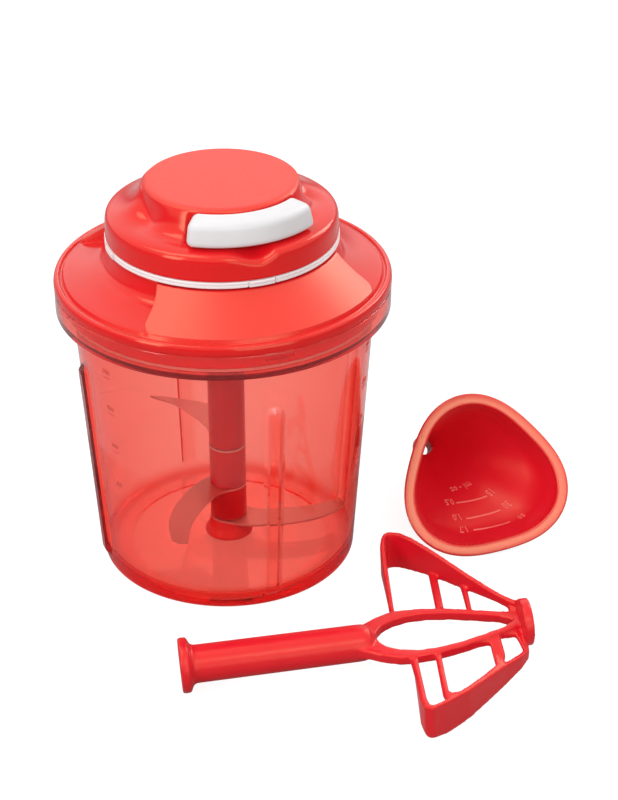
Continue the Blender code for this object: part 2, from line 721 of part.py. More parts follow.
def lathe_shell(name, azimuths, rows_at, material):
    """Build a turned shell that is closed at the top, outside and inside."""
    mesh = bmesh.new()
    columns = []
    for azimuth in azimuths:
        outside, inside = rows_at(azimuth)
        rows = outside + inside
        columns.append([mesh.verts.new(azimuth_place(radius, azimuth, height)) for radius, height in rows])
    outer_count = len(outside)
    rows = len(columns[0])
    for index, here in enumerate(columns):
        there = columns[(index + 1) % len(columns)]
        for row in range(rows):
            above = (row + 1) % rows
            if above != outer_count:
                mesh.faces.new((here[row], there[row], there[above], here[above]))
    mesh.faces.new([column[outer_count - 1] for column in columns])
    mesh.faces.new([column[outer_count] for column in columns][::-1])
    return finish(mesh, name, material)


def build_mechanism(paints):
    """Build the base plate, its screws, the spring in its cup, the spool and the spindle."""
    bush_radius = SPINDLE_BORE + BUSH_WALL
    plate_radius = CAP_RADIUS + RING_OVERHANG - RING_WIDTH - PLATE_INSET
    plate_section = [
        (plate_radius, PLATE_BASE),
        (plate_radius, PLATE_TOP),
        (PLATE_BOSS + BITE, PLATE_TOP),
        (PLATE_BOSS, PLATE_TOP + PLATE_BOSS_RISE),
        (bush_radius + GAP, PLATE_TOP + PLATE_BOSS_RISE),
        (bush_radius + GAP, PLATE_BASE - PLATE_BOSS_DROP),
        (PLATE_BOSS, PLATE_BASE - PLATE_BOSS_DROP),
        (PLATE_BOSS + BITE, PLATE_BASE),
    ]
    plate = turned("mechanism_base", plate_section, PLATE_SIDES, paints["red"])
    screw_base = FLANGE_TOP - FLANGE_THICKNESS - GAP
    for turn in range(SCREW_COUNT):
        reach = screw_base + SCREW_DEPTH
        low = PLATE_BASE - BITE
        hole = rod(f"thread_hole_{turn}", SCREW_RADIUS + GAP, low, reach + GAP, SMALL_SIDES, None)
        hole.location = screw_place(turn)
        combine(plate, hole, "DIFFERENCE")
        section = [
            (SCREW_HEAD_RADIUS, screw_base - SCREW_HEAD_HEIGHT),
            (SCREW_HEAD_RADIUS, screw_base),
            (SCREW_RADIUS, screw_base),
            (SCREW_RADIUS, reach),
        ]
        ends = (section[0][1], reach)
        screw = turned(f"base_screw_{turn + 1}", section, SMALL_SIDES, paints["steel"], poles=ends)
        screw.location = screw_place(turn)
    bush_low = PLATE_BASE - PLATE_BOSS_DROP - GAP
    bush_section = [
        (bush_radius + BUSH_FLANGE, bush_low - BUSH_FLANGE_HEIGHT),
        (bush_radius + BUSH_FLANGE, bush_low),
        (bush_radius, bush_low),
        (bush_radius, PLATE_TOP + PLATE_BOSS_RISE),
        (SPINDLE_BORE, PLATE_TOP + PLATE_BOSS_RISE),
        (SPINDLE_BORE, bush_low - BUSH_FLANGE_HEIGHT),
    ]
    turned("spindle_bush", bush_section, DRUM_SIDES, paints["white"])
    cup_top = CUP_BASE + CUP_HEIGHT
    cup_section = [
        (CUP_RADIUS, CUP_BASE),
        (CUP_RADIUS, cup_top),
        (CUP_RADIUS - CUP_WALL, cup_top),
        (CUP_RADIUS - CUP_WALL, CUP_BASE + CUP_FLOOR),
        (SPINDLE_BORE + GAP, CUP_BASE + CUP_FLOOR),
        (SPINDLE_BORE + GAP, CUP_BASE),
    ]
    turned("spring_cup", cup_section, PLATE_SIDES, paints["white"])
    build_spring(paints["steel"], cup_top)
    build_spool(paints)


def build_spring(material, cup_top):
    """Build the flat rewind spring as one ribbon wound outwards."""
    steps = SPRING_SIDES * SPRING_TURNS
    low = CUP_BASE + CUP_FLOOR + GAP
    high = cup_top - GAP
    outer = CUP_RADIUS - CUP_WALL - GAP - SPRING_THICKNESS
    mesh = bmesh.new()
    sections = []
    for step in range(steps + 1):
        azimuth = 2 * math.pi * SPRING_TURNS * step / steps
        radius = mix(SPRING_INNER, outer, step / steps)
        corners = rectangle(radius, radius + SPRING_THICKNESS, low, high)
        sections.append([mesh.verts.new(azimuth_place(r, azimuth, z)) for r, z in corners])
    loft(mesh, sections)
    return finish(mesh, "power_spring", material)


def build_spool(paints):
    """Build the cord spool, its winding, the spindle with its dog, and the clip."""
    arbor_low = CUP_BASE + CUP_FLOOR + GAP
    section = [
        (SPINDLE_BORE, arbor_low),
        (ARBOR_RADIUS, arbor_low),
        (ARBOR_RADIUS, SPOOL_BASE),
        (SPOOL_FLANGE_RADIUS, SPOOL_BASE),
        (SPOOL_FLANGE_RADIUS, SPOOL_BASE + SPOOL_FLANGE),
        (SPOOL_HUB_RADIUS, SPOOL_BASE + SPOOL_FLANGE),
        (SPOOL_HUB_RADIUS, SPOOL_TOP - SPOOL_FLANGE),
        (SPOOL_FLANGE_RADIUS, SPOOL_TOP - SPOOL_FLANGE),
        (SPOOL_FLANGE_RADIUS, SPOOL_TOP),
        (SPINDLE_BORE, SPOOL_TOP),
    ]
    turned("cord_spool", section, DRUM_SIDES, paints["white"])
    low = SPOOL_BASE + SPOOL_FLANGE + GAP
    high = SPOOL_TOP - SPOOL_FLANGE - GAP
    winding = rectangle(SPOOL_HUB_RADIUS + GAP, WINDING_RADIUS, low, high)
    turned("cord_winding", winding, DRUM_SIDES, paints["cord"])
    dog_top = COLUMN_TOP - BITE
    dog_low = dog_top - DOG_HEIGHT
    spindle = rod("drive_spindle", SPINDLE_RADIUS, dog_low, SPINDLE_TOP, PIN_SIDES, paints["steel"])
    outline = [(-DOG_HALF_LENGTH, -DOG_HALF_WIDTH), (DOG_HALF_LENGTH, -DOG_HALF_WIDTH),
               (DOG_HALF_LENGTH, DOG_HALF_WIDTH), (-DOG_HALF_LENGTH, DOG_HALF_WIDTH)]
    combine(spindle, prism("dog_shape", outline, dog_low + GAP, dog_top, None), "UNION")
    clip_base = SPOOL_TOP + GAP
    clip_section = rectangle(SPINDLE_BORE, SPINDLE_BORE + CLIP_WIDTH, clip_base, clip_base + CLIP_THICKNESS)
    turned("spindle_clip", clip_section, PIN_SIDES, paints["steel"])


def cord_route():
    """Return the cord's route from its winding, through the eyelet, to the knot."""
    start_radius = WINDING_RADIUS + CORD_RADIUS + GAP
    mouth_place = PAD_RADIUS - CAP_WALL - GAP - 3 * BITE
    turn = math.acos(start_radius / mouth_place)
    start = azimuth_place(start_radius, -turn, CORD_LEVEL)
    mouth = Vector((0.0, -mouth_place, CORD_LEVEL))
    bend_shares = (0.45, 0.86)
    points = [start] + [start.lerp(mouth, share) for share in bend_shares]
    handle_inner = PAD_RADIUS + HANDLE_INSET
    end = handle_inner + KNOT_PLACE - KNOT_RADIUS - GAP
    return points + [mouth - Vector((0.0, BITE, 0.0)), Vector((0.0, -end, CORD_LEVEL))]


def build_cord(paints):
    """Build the eyelet in the cap's wall and the cord's short lead to the handle."""
    flange_outer = PAD_RADIUS - CAP_WALL - GAP - BITE
    body = EYELET_BORE + EYELET_WALL
    section = [
        (EYELET_BORE, flange_outer - BITE),
        (body + EYELET_FLANGE, flange_outer - BITE),
        (body + EYELET_FLANGE, flange_outer),
        (body, flange_outer),
        (body, PAD_RADIUS - GAP),
        (EYELET_BORE, PAD_RADIUS - GAP),
    ]
    eyelet = turned("cord_eyelet", section, BORE_SIDES, paints["white"])
    eyelet.rotation_euler = (math.pi / 2, 0.0, 0.0)
    eyelet.location = (0.0, 0.0, CORD_LEVEL)
    tube("cord_lead", cord_route(), CORD_RADIUS, CORD_SIDES, paints["cord"])


def handle_section(inset):
    """Return the handle's rounded section, drawn in by an inset."""
    low = SEAT + HANDLE_FLOAT
    top = CAP_TOP - HANDLE_TOP_DROP
    inner = PAD_RADIUS + HANDLE_INSET
    outer = inner + HANDLE_TOP_DEPTH
    corners = [
        (inner + inset, low + inset),
        (outer + HANDLE_FRONT_LEAN - inset, low + inset),
        (outer - inset, top - HANDLE_TOP_SLOPE - inset),
        (inner + inset, top - inset),
    ]
    round_size = max(HANDLE_ROUND - inset, HANDLE_ROUND / 4)
    # Shares of the rounding towards the side before and the side after a corner
    corner_shares = ((1.0, 0.0), (0.30, 0.30), (0.0, 1.0))
    points = []
    for index, corner in enumerate(corners):
        corner = Vector(corner)
        before = (Vector(corners[index - 1]) - corner).normalized()
        after = (Vector(corners[(index + 1) % len(corners)]) - corner).normalized()
        for back, ahead in corner_shares:
            points.append(corner + (before * back + after * ahead) * round_size)
    return points


def build_handle(paints):
    """Build the curved pull handle and the knot that holds the cord in it."""
    inner = PAD_RADIUS + HANDLE_INSET
    end_steps = 3
    middle_steps = 11
    end_angle = HANDLE_END_ROUND / (inner + HANDLE_TOP_DEPTH / 2)
    ends = []
    for step in range(end_steps):
        share = 1.0 - step / end_steps
        inset = HANDLE_ROUND * (1 - math.sqrt(1 - share * share))
        ends.append((HANDLE_HALF_ANGLE - end_angle * (1 - share), inset))
    flat = HANDLE_HALF_ANGLE - end_angle
    places = [(-angle, inset) for angle, inset in ends]
    places += [(mix(-flat, flat, step / middle_steps), 0.0) for step in range(middle_steps + 1)]
    places += ends[::-1]
    mesh = bmesh.new()
    sections = []
    for azimuth, inset in places:
        points = handle_section(inset)
        sections.append([mesh.verts.new(azimuth_place(p.x, azimuth, p.y)) for p in points])
    loft(mesh, sections)
    handle = finish(mesh, "pull_handle", paints["white"])
    pocket_length = BITE + KNOT_PLACE + KNOT_RADIUS + GAP
    pocket = rod("knot_pocket", KNOT_RADIUS + 2 * GAP, 0.0, pocket_length, BORE_SIDES, None)
    pocket.rotation_euler = (math.pi / 2, 0.0, 0.0)
    pocket.location = (0.0, -inner + BITE, CORD_LEVEL)
    combine(handle, pocket, "DIFFERENCE")
    knot_mesh = bmesh.new()
    bmesh.ops.create_icosphere(knot_mesh, subdivisions=2, radius=KNOT_RADIUS)
    knot = finish(knot_mesh, "handle_knot", paints["cord"])
    knot.location = (0.0, -inner - KNOT_PLACE, CORD_LEVEL)


def blade_outline(pointed, ground):
    """Return a blade's outline round the column, with its edge drawn in by the ground width."""
    # Shares of the blade's reach, with the blade's root towards +Y: the back, the tip, then the edge
    back_shares = ((0.147, 0.072), (0.118, 0.19), (0.08, 0.296), (-0.01, 0.44))
    edge_shares = ((-0.303, 0.447), (-0.235, 0.345), (-0.176, 0.24), (-0.15, 0.15), (-0.141, 0.064))
    if pointed:
        back_shares += ((-0.08, 0.555), (-0.148, 0.625), (-0.23, 0.672), (-0.312, 0.702), (-0.442, 0.75),
                        (-0.572, 0.788), (-0.66, 0.80))
        edge_shares = ((-0.60, 0.752), (-0.527, 0.70), (-0.44, 0.625), (-0.37, 0.54)) + edge_shares
    else:
        back_shares += ((-0.112, 0.575), (-0.215, 0.675), (-0.327, 0.751), (-0.43, 0.80), (-0.52, 0.83),
                        (-0.58, 0.81), (-0.625, 0.745))
        edge_shares = ((-0.53, 0.675), (-0.44, 0.607), (-0.37, 0.53)) + edge_shares
    root_rows = 2
    tip_rows = 3
    outline = [Vector((x * BLADE_REACH, y * BLADE_REACH)) for x, y in back_shares]
    edge = [Vector((x * BLADE_REACH, y * BLADE_REACH)) for x, y in edge_shares]
    for index, point in enumerate(edge):
        ahead = edge[min(index + 1, len(edge) - 1)]
        behind = edge[max(index - 1, 0)]
        along = (ahead - behind).normalized()
        taper = min(1.0, (len(edge) - 1 - index) / root_rows, (index + 1) / tip_rows)
        outline.append(point + Vector((-along.y, along.x)) * ground * taper)
    hub_steps = 12
    first = math.atan2(edge[-1].y, edge[-1].x)
    last = math.atan2(outline[0].y, outline[0].x) + 2 * math.pi
    hub = outline[0].length
    for step in range(1, hub_steps):
        angle = mix(first, last, step / hub_steps)
        outline.append(Vector((hub * math.cos(angle), hub * math.sin(angle))))
    return outline


def build_blade(name, level, turn, pointed, material):
    """Build one curved blade with a ground edge and a hole for the core."""
    mesh = bmesh.new()
    low = level - BLADE_THICKNESS / 2
    lower = [mesh.verts.new((p.x, p.y, low)) for p in blade_outline(pointed, 0.0)]
    outline = blade_outline(pointed, BLADE_GROUND)
    upper = [mesh.verts.new((p.x, p.y, low + BLADE_THICKNESS)) for p in outline]
    loft(mesh, [lower, upper])
    blade = finish(mesh, name, material)
    blade.rotation_euler = (0.0, 0.0, turn)
    bore = rod(f"{name}_bore", CORE_BORE, low - BITE, low + BLADE_THICKNESS + BITE, DRUM_SIDES, None)
    return combine(blade, bore, "DIFFERENCE")


def build_blade_unit(paints):
    """Build the foot with its core, the spacers, the three blades and the upper column."""
    top = BLADE_LEVELS["top"] + BLADE_THICKNESS / 2 + GAP
    boss_top = BOWL_FLOOR + BOSS_HEIGHT
    skirt_inner = BOSS_FOOT_RADIUS + 2 * GAP
    foot_low = BOWL_FLOOR + FOOT_LIFT
    foot_top = BLADE_LEVELS["bottom"] - BLADE_THICKNESS / 2 - GAP
    core_top = top + CORE_RISE
    section = [
        (PIN_RADIUS + GAP, PIN_HEIGHT + 2 * GAP),
        (PIN_RADIUS + GAP, boss_top + GAP),
        (skirt_inner, boss_top + GAP),
        (skirt_inner, foot_low),
        (FOOT_RADIUS, foot_low),
        (FOOT_RADIUS, foot_low + BITE),
        (COLUMN_RADIUS + BITE, (foot_low + foot_top) / 2),
        (COLUMN_RADIUS, foot_top),
        (CORE_RADIUS, foot_top),
        (CORE_RADIUS, core_top - BITE / 2),
        (CORE_RADIUS - BITE / 2, core_top),
    ]
    turned("column_foot", section, PIN_SIDES, paints["red"], poles=(PIN_HEIGHT + 2 * GAP, core_top))
    levels = list(BLADE_LEVELS.values())
    for name, low, high in (("spacer_lower", levels[0], levels[1]), ("spacer_upper", levels[1], levels[2])):
        margin = BLADE_THICKNESS / 2 + GAP
        spacer = rectangle(CORE_BORE, COLUMN_RADIUS, low + margin, high - margin)
        turned(name, spacer, DRUM_SIDES, paints["red"])
    socket_floor = COLUMN_TOP - SOCKET_DEPTH
    flange = COLUMN_RADIUS + COLUMN_TOP_FLANGE
    column_section = [
        (COLUMN_RADIUS, top),
        (COLUMN_RADIUS, COLUMN_TOP - 2 * BITE),
        (flange, COLUMN_TOP - BITE),
        (flange, COLUMN_TOP),
        (SOCKET_RADIUS, COLUMN_TOP),
        (SOCKET_RADIUS, socket_floor),
        (CORE_BORE, socket_floor - BITE),
        (CORE_BORE, top),
    ]
    column = turned("column_upper", column_section, DRUM_SIDES, paints["red"])
    for turn in range(2):
        centre = math.pi * turn
        half = math.pi / 2 - SOCKET_RIB_START
        inner = SOCKET_RADIUS - SOCKET_RIB
        name = f"socket_rib_{turn}"
        outer = SOCKET_RADIUS + BITE
        rib = arc_block(name, inner, outer, socket_floor + GAP, COLUMN_TOP - BITE, centre, half, 4)
        combine(column, rib, "UNION")
    for index, name in enumerate(reversed(BLADE_LEVELS)):
        turn = BLADE_TURN + index * 2 * math.pi / len(BLADE_LEVELS)
        build_blade(f"blade_{name}", BLADE_LEVELS[name], turn, name == "top", paints["steel"])


def whisk_matrix():
    """Return the whisk paddle's place, with its shaft along its own X."""
    place = Matrix.Translation(WHISK_PLACE)
    heading = Matrix.Rotation(WHISK_HEADING, 4, "Z")
    pitch = Matrix.Rotation(-WHISK_PITCH, 4, "Y")
    return place @ heading @ pitch


def whisk_shaft(material):
    """Build the whisk's hollow shaft with its end flange."""
    end = -WHISK_SHAFT_LENGTH - WHISK_NECK
    flange = end + WHISK_FLANGE_THICKNESS
    shoulder = -WHISK_NECK - WHISK_SHAFT_TIP
    section = [
        (WHISK_BORE_RADIUS, end + WHISK_BORE_DEPTH),
        (WHISK_BORE_RADIUS, end),
        (WHISK_FLANGE_RADIUS, end),
        (WHISK_FLANGE_RADIUS, flange - BITE),
        (WHISK_FLANGE_RADIUS - BITE, flange),
        (WHISK_SHAFT_RADIUS + BITE, flange + BITE),
        (WHISK_SHAFT_RADIUS, flange + 3 * BITE),
        (WHISK_SHAFT_RADIUS, shoulder),
        (WHISK_SHAFT_RADIUS - BITE, shoulder + WHISK_SHAFT_TIP / 2),
        (WHISK_BAR / 2, -WHISK_NECK),
    ]
    shaft = turned("whisk_paddle", section, DRUM_SIDES, material, poles=(end + WHISK_BORE_DEPTH, -WHISK_NECK))
    turn = Matrix.Rotation(math.pi / 2, 4, "Y")
    shaft.data.transform(turn)
    return shaft


def whisk_lens():
    """Return the outer and inner outlines of the two bowed bars."""
    # Shares of the wings' length, each with the half width's share of the wings' width
    outer_shares = ((-0.40, 0.15), (-0.30, 0.20), (-0.22, 0.25), (-0.07, 0.32), (0.07, 0.33), (0.24, 0.315),
                    (0.46, 0.27), (0.70, 0.19), (0.86, 0.13), (0.95, 0.095), (1.02, 0.07))
    inner_shares = ((-0.215, 0.0), (-0.20, 0.07), (-0.15, 0.14), (-0.04, 0.205), (0.10, 0.24), (0.24, 0.24),
                    (0.45, 0.205), (0.66, 0.14), (0.84, 0.08), (0.95, 0.0))
    outer = [(x * WHISK_WING_LENGTH, y * WHISK_WING_WIDTH) for x, y in outer_shares]
    inner = [(x * WHISK_WING_LENGTH, y * WHISK_WING_WIDTH) for x, y in inner_shares]
    outer_loop = outer + [(x, -y) for x, y in outer[::-1]]
    inner_loop = inner + [(x, -y) for x, y in inner[-2:0:-1]]
    return outer_loop, inner_loop


def whisk_strip_rows(side):
    """Return one outer strip's route: along, across, and the heights of its two edges."""
    # Shares of the wings' length and width, then of the strip's depth
    near_shares = ((0.028, 0.35, 0.085, -0.13), (0.010, 0.62, 0.085, -0.40), (-0.007, 0.875, 0.085, -0.74),
                   (0.012, 0.965, 0.08, -0.90), (0.074, 0.993, 0.05, -0.93), (0.23, 0.895, -0.01, -0.95),
                   (0.42, 0.758, -0.09, -0.95), (0.62, 0.586, -0.17, -0.90), (0.79, 0.442, -0.23, -0.83),
                   (0.95, 0.32, -0.29, -0.69), (1.03, 0.24, -0.31, -0.58))
    far_shares = ((-0.04, 0.385, -0.085, 0.10), (-0.026, 0.70, -0.085, 0.45), (-0.017, 0.947, -0.085, 0.93),
                  (0.012, 1.04, -0.08, 1.06), (0.07, 1.085, -0.07, 1.06), (0.165, 1.055, -0.03, 1.02),
                  (0.27, 0.957, 0.025, 0.97), (0.39, 0.833, 0.075, 0.87), (0.52, 0.677, 0.12, 0.75),
                  (0.665, 0.505, 0.15, 0.61), (0.81, 0.36, 0.14, 0.45), (0.91, 0.265, 0.10, 0.35),
                  (1.01, 0.16, 0.05, 0.33))
    shares = far_shares if side > 0 else near_shares
    return [
        (x * WHISK_WING_LENGTH, y * WHISK_WING_WIDTH, near * WHISK_STRIP_DEPTH, far * WHISK_STRIP_DEPTH)
        for x, y, near, far in shares
    ]


def whisk_strip(name, side):
    """Build one wing's outer strip, which bends round the corner and along the first strut."""
    mesh = bmesh.new()
    sections = []
    rows = whisk_strip_rows(side)
    for index, (across, out, near, far) in enumerate(rows):
        point = Vector((across, out))
        ahead = Vector(rows[min(index + 1, len(rows) - 1)][:2])
        behind = Vector(rows[max(index - 1, 0)][:2])
        along = (ahead - behind).normalized()
        inner_point = point + Vector((along.y, -along.x)) * WHISK_STRIP_WALL
        corners = [(point, near), (point, far), (inner_point, far), (inner_point, near)]
        sections.append([mesh.verts.new((p.x, side * p.y, z)) for p, z in corners])
    loft(mesh, sections)
    bmesh.ops.triangulate(mesh, faces=mesh.faces[:])
    return finish(mesh, name, None)


def whisk_windows(side):
    """Return the windows of one wing, as outlines seen from above."""
    # Shares of the wings' length and width
    near_shares = (
        ((0.076, 0.29), (0.052, 0.85), (0.062, 0.925), (0.098, 0.943), (0.209, 0.872), (0.191, 0.80),
         (0.224, 0.29)),
        ((0.276, 0.28), (0.247, 0.758), (0.266, 0.785), (0.336, 0.763), (0.484, 0.64), (0.70, 0.44),
         (0.70, 0.21)),
        ((0.80, 0.15), (0.805, 0.328), (0.745, 0.46), (0.88, 0.347), (0.983, 0.263), (0.935, 0.13)),
    )
    far_shares = (
        ((0.0, 0.30), (0.034, 0.99), (0.062, 1.04), (0.107, 1.044), (0.162, 1.01), (0.372, 0.796),
         (0.345, 0.29)),
        ((0.412, 0.27), (0.438, 0.724), (0.598, 0.526), (0.598, 0.22)),
        ((0.64, 0.21), (0.648, 0.472), (0.886, 0.25), (0.93, 0.20), (0.94, 0.12)),
    )
    shares = far_shares if side > 0 else near_shares
    return [
        [(x * WHISK_WING_LENGTH, side * y * WHISK_WING_WIDTH) for x, y in window]
        for window in shares
    ]


def whisk_wing(name, side):
    """Build one wing's frame, which leans from its bar to its strip."""
    # Shares of the wings' length and width
    bar_shares = ((-0.1, 0.27), (0.15, 0.28), (0.35, 0.26), (0.58, 0.20), (0.80, 0.12), (0.95, 0.06),
                  (1.1, 0.03))
    first_row = 3
    half = WHISK_PLATE / 2
    mesh = bmesh.new()
    sections = []
    for along, out, near, _ in whisk_strip_rows(side)[first_row:]:
        share = along / WHISK_WING_LENGTH
        low = max(row for row in bar_shares[:-1] if row[0] <= share)
        high = bar_shares[bar_shares.index(low) + 1]
        start = WHISK_WING_WIDTH * mix(low[1], high[1], (share - low[0]) / (high[0] - low[0]))
        end = out - WHISK_STRIP_WALL / 2
        lift = near + half * side
        corners = [(start, -half), (end, lift - half), (end, lift + half), (start, half)]
        sections.append([mesh.verts.new((along, side * w, z)) for w, z in corners])
    loft(mesh, sections)
    bmesh.ops.triangulate(mesh, faces=mesh.faces[:])
    wing = finish(mesh, name, None)
    reach = WHISK_STRIP_DEPTH / 2
    for index, window in enumerate(whisk_windows(side)):
        cutter = prism(f"{name}_window_{index}", window, -reach, reach, None)
        cutter.matrix_world = whisk_matrix()
        combine(wing, cutter, "DIFFERENCE")
    return wing


def build_whisk(material):
    """Build the whisk paddle as one moulding."""
    shaft = whisk_shaft(material)
    outer, inner = whisk_lens()
    bars = prism("bars_shape", outer, -WHISK_BAR / 2, WHISK_BAR / 2, None)
    opening = prism("bars_opening", inner, -WHISK_BAR, WHISK_BAR, None)
    opening.matrix_world = whisk_matrix()
    combine(bars, opening, "DIFFERENCE")
    wings = [whisk_wing("near_wing", -1), whisk_wing("far_wing", 1)]
    strips = [whisk_strip("near_strip", -1), whisk_strip("far_strip", 1)]
    hub = rod("hub_shape", WHISK_HUB_RADIUS, 0.0, WHISK_HUB_LENGTH, DRUM_SIDES, None)
    hub.data.transform(Matrix.Rotation(math.pi / 2, 4, "Y"))
    hub.data.transform(Matrix.Translation((WHISK_WING_LENGTH, 0.0, 0.0)))
    shaft.matrix_world = whisk_matrix()
    bore_length = WHISK_HUB_LENGTH + 2 * BITE
    bore = rod("hub_bore", PIN_RADIUS + 2 * GAP, 0.0, bore_length, BORE_SIDES, None)
    bore.data.transform(Matrix.Rotation(math.pi / 2, 4, "Y"))
    bore.data.transform(Matrix.Translation((WHISK_WING_LENGTH + BITE, 0.0, 0.0)))
    for shape in (bars, *wings, *strips, hub):
        shape.matrix_world = whisk_matrix()
        combine(shaft, shape, "UNION")
    bore.matrix_world = whisk_matrix()
    combine(shaft, bore, "DIFFERENCE")
    return shaft


def funnel_point(angle, inset, depth, centre_share, round_share, round_radius):
    """Return a place on the funnel cup, in its own frame."""
    outline = FUNNEL_RADIUS + FUNNEL_CORNER * math.cos(FUNNEL_CORNERS * (angle + FUNNEL_TURN)) - inset
    radius = mix(outline, round_radius, round_share)
    across = radius * math.cos(angle) + FUNNEL_SPOUT_PLACE[0] * centre_share
    along = radius * math.sin(angle) + FUNNEL_SPOUT_PLACE[1] * centre_share
    return Vector((across, along, -depth))


def build_funnel(material):
    """Build the funnel cup, which lies on its rim and its spout."""
    spout_inner = FUNNEL_SPOUT_RADIUS - FUNNEL_WALL
    neck = FUNNEL_RIM_WIDTH - FUNNEL_WALL
    back = FUNNEL_RIM_THICKNESS
    inner_depth = FUNNEL_CUP_DEPTH - FUNNEL_WALL / 2
    half_share = 0.5
    round_share = 0.46
    rows = [
        (FUNNEL_RIM_WIDTH, GAP, 0.0, 0.0, 0.0),
        (GAP, 0.0, 0.0, 0.0, 0.0),
        (0.0, back / 4, 0.0, 0.0, 0.0),
        (back - GAP, back, 0.0, 0.0, 0.0),
        (neck, back + GAP, 0.0, 0.0, 0.0),
        (neck, mix(back, FUNNEL_CUP_DEPTH, half_share), round_share, round_share, FUNNEL_SPOUT_RADIUS),
        (neck, FUNNEL_CUP_DEPTH, 1.0, 1.0, FUNNEL_SPOUT_RADIUS),
        (neck, FUNNEL_DEPTH, 1.0, 1.0, FUNNEL_SPOUT_RADIUS - FUNNEL_SPOUT_TAPER),
        (neck, FUNNEL_DEPTH, 1.0, 1.0, spout_inner - FUNNEL_SPOUT_TAPER),
        (neck, inner_depth, 1.0, 1.0, spout_inner),
        (FUNNEL_RIM_WIDTH, mix(0.0, inner_depth, half_share), round_share, round_share, spout_inner),
        (FUNNEL_RIM_WIDTH + GAP, BITE, 0.0, 0.0, spout_inner),
    ]
    mesh = bmesh.new()
    angles = even_turn(FUNNEL_SIDES)
    columns = [[mesh.verts.new(funnel_point(angle, *row)) for row in rows] for angle in angles]
    for index, here in enumerate(columns):
        there = columns[(index + 1) % len(columns)]
        for row in range(len(rows)):
            above = (row + 1) % len(rows)
            mesh.faces.new((here[row], there[row], there[above], here[above]))
    funnel = finish(mesh, "funnel_cup", material)
    lean = Matrix.Rotation(math.pi / 2 - FUNNEL_TILT, 4, "X")
    heading = Matrix.Rotation(FUNNEL_AZIMUTH, 4, "Z")
    funnel.matrix_world = Matrix.Translation(FUNNEL_PLACE) @ heading @ lean
    return funnel


def main():
    """Clear the scene and build every piece."""
    for item in list(bpy.data.objects):
        bpy.data.objects.remove(item, do_unlink=True)
    paints = {
        "tint": make_material("tinted_bowl", (0.85, 0.05, 0.06), 0.08, alpha=0.5),
        "red": make_material("red_plastic", (0.80, 0.035, 0.04), 0.3),
        "white": make_material("white_plastic", (0.86, 0.84, 0.84), 0.35),
        "steel": make_material("steel", (0.62, 0.62, 0.64), 0.25, metallic=1.0),
        "cord": make_material("cord", (0.88, 0.87, 0.84), 0.8),
        "rubber": make_material("gasket_rubber", (0.80, 0.78, 0.76), 0.6),
    }
    build_bowl(paints["tint"])
    rod("bowl_pivot_pin", PIN_RADIUS, PIN_SEAT + GAP, PIN_HEIGHT, PIN_SIDES, paints["steel"])
    build_gasket(paints["rubber"])
    build_cover(paints["red"])
    build_ring(paints["white"])
    build_cap(paints["red"])
    build_mechanism(paints)
    build_cord(paints)
    build_handle(paints)
    build_blade_unit(paints)
    build_whisk(paints["red"])
    build_funnel(paints["red"])


main()
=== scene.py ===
"""Looks of the pull-cord food chopper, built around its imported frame.

Units are metres and +Z is up. The pull handle faces -Y, and azimuths are counted from -Y towards +X.
"""
import math

import bmesh
import bpy
from mathutils import Matrix, Vector
from mathutils.geometry import tessellate_polygon


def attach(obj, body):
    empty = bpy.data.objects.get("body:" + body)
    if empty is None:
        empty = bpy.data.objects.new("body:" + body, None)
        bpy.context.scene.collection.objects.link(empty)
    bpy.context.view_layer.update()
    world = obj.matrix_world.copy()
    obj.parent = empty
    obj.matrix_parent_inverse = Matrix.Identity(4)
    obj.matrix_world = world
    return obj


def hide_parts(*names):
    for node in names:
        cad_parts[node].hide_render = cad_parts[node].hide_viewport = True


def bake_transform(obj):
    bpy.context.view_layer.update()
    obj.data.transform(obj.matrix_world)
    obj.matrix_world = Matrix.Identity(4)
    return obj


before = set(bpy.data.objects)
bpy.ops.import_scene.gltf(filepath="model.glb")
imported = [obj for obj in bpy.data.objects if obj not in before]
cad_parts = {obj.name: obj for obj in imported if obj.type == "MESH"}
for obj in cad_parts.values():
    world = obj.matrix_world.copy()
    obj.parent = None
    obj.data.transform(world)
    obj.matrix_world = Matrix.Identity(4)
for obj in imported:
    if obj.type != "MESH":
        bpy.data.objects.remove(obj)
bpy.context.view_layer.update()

MM = 0.001
DEG = math.pi / 180
GAP = 0.3 * MM
FULL_TURN = 2 * math.pi
QUARTER = math.pi / 2

# Heights
BOWL_HEIGHT = 154.2 * MM
COVER_BASE = 154.8 * MM
NECK_TOP = 175.6 * MM
RING_BASE = 176.2 * MM
RING_TOP = 179.5 * MM
CAP_BASE = 179.8 * MM
SHOULDER = 192.4 * MM
SEAT = 193.6 * MM
CAP_TOP = 207.8 * MM
CAP_CEILING = 205.3 * MM
SHELF_TOP = 143.9 * MM
COLUMN_TOP = 170.5 * MM
CORD_LEVEL = 199.7 * MM

# Radii
BRIM_RADIUS = 84.0 * MM
BASE_RADIUS = 66.2 * MM
WALL_TOP_RADIUS = 75.6 * MM
COLLAR_RADIUS = 83.8 * MM
COLLAR_INNER = 81.3 * MM
SKIRT_RADIUS = 79.3 * MM
CAP_RADIUS = 57.3 * MM
PAD_RADIUS = 37.8 * MM
COLUMN_RADIUS = 9.5 * MM
BLADE_REACH = 62.6 * MM
PIN_RADIUS = 3.0 * MM

BLADES = {"blade_bottom": 14.6 * MM, "blade_middle": 34.3 * MM, "blade_top": 58.0 * MM}
BLADE_THICKNESS = 1.2 * MM
BLADE_TURN = -18.4 * DEG


# Shapes
def spot(radius, azimuth, height):
    """Return the point at a radius, an azimuth and a height."""
    return Vector((radius * math.sin(azimuth), -radius * math.cos(azimuth), height))


def mix(first, second, weight):
    """Return the value between two, a share of the way along."""
    return first + (second - first) * weight


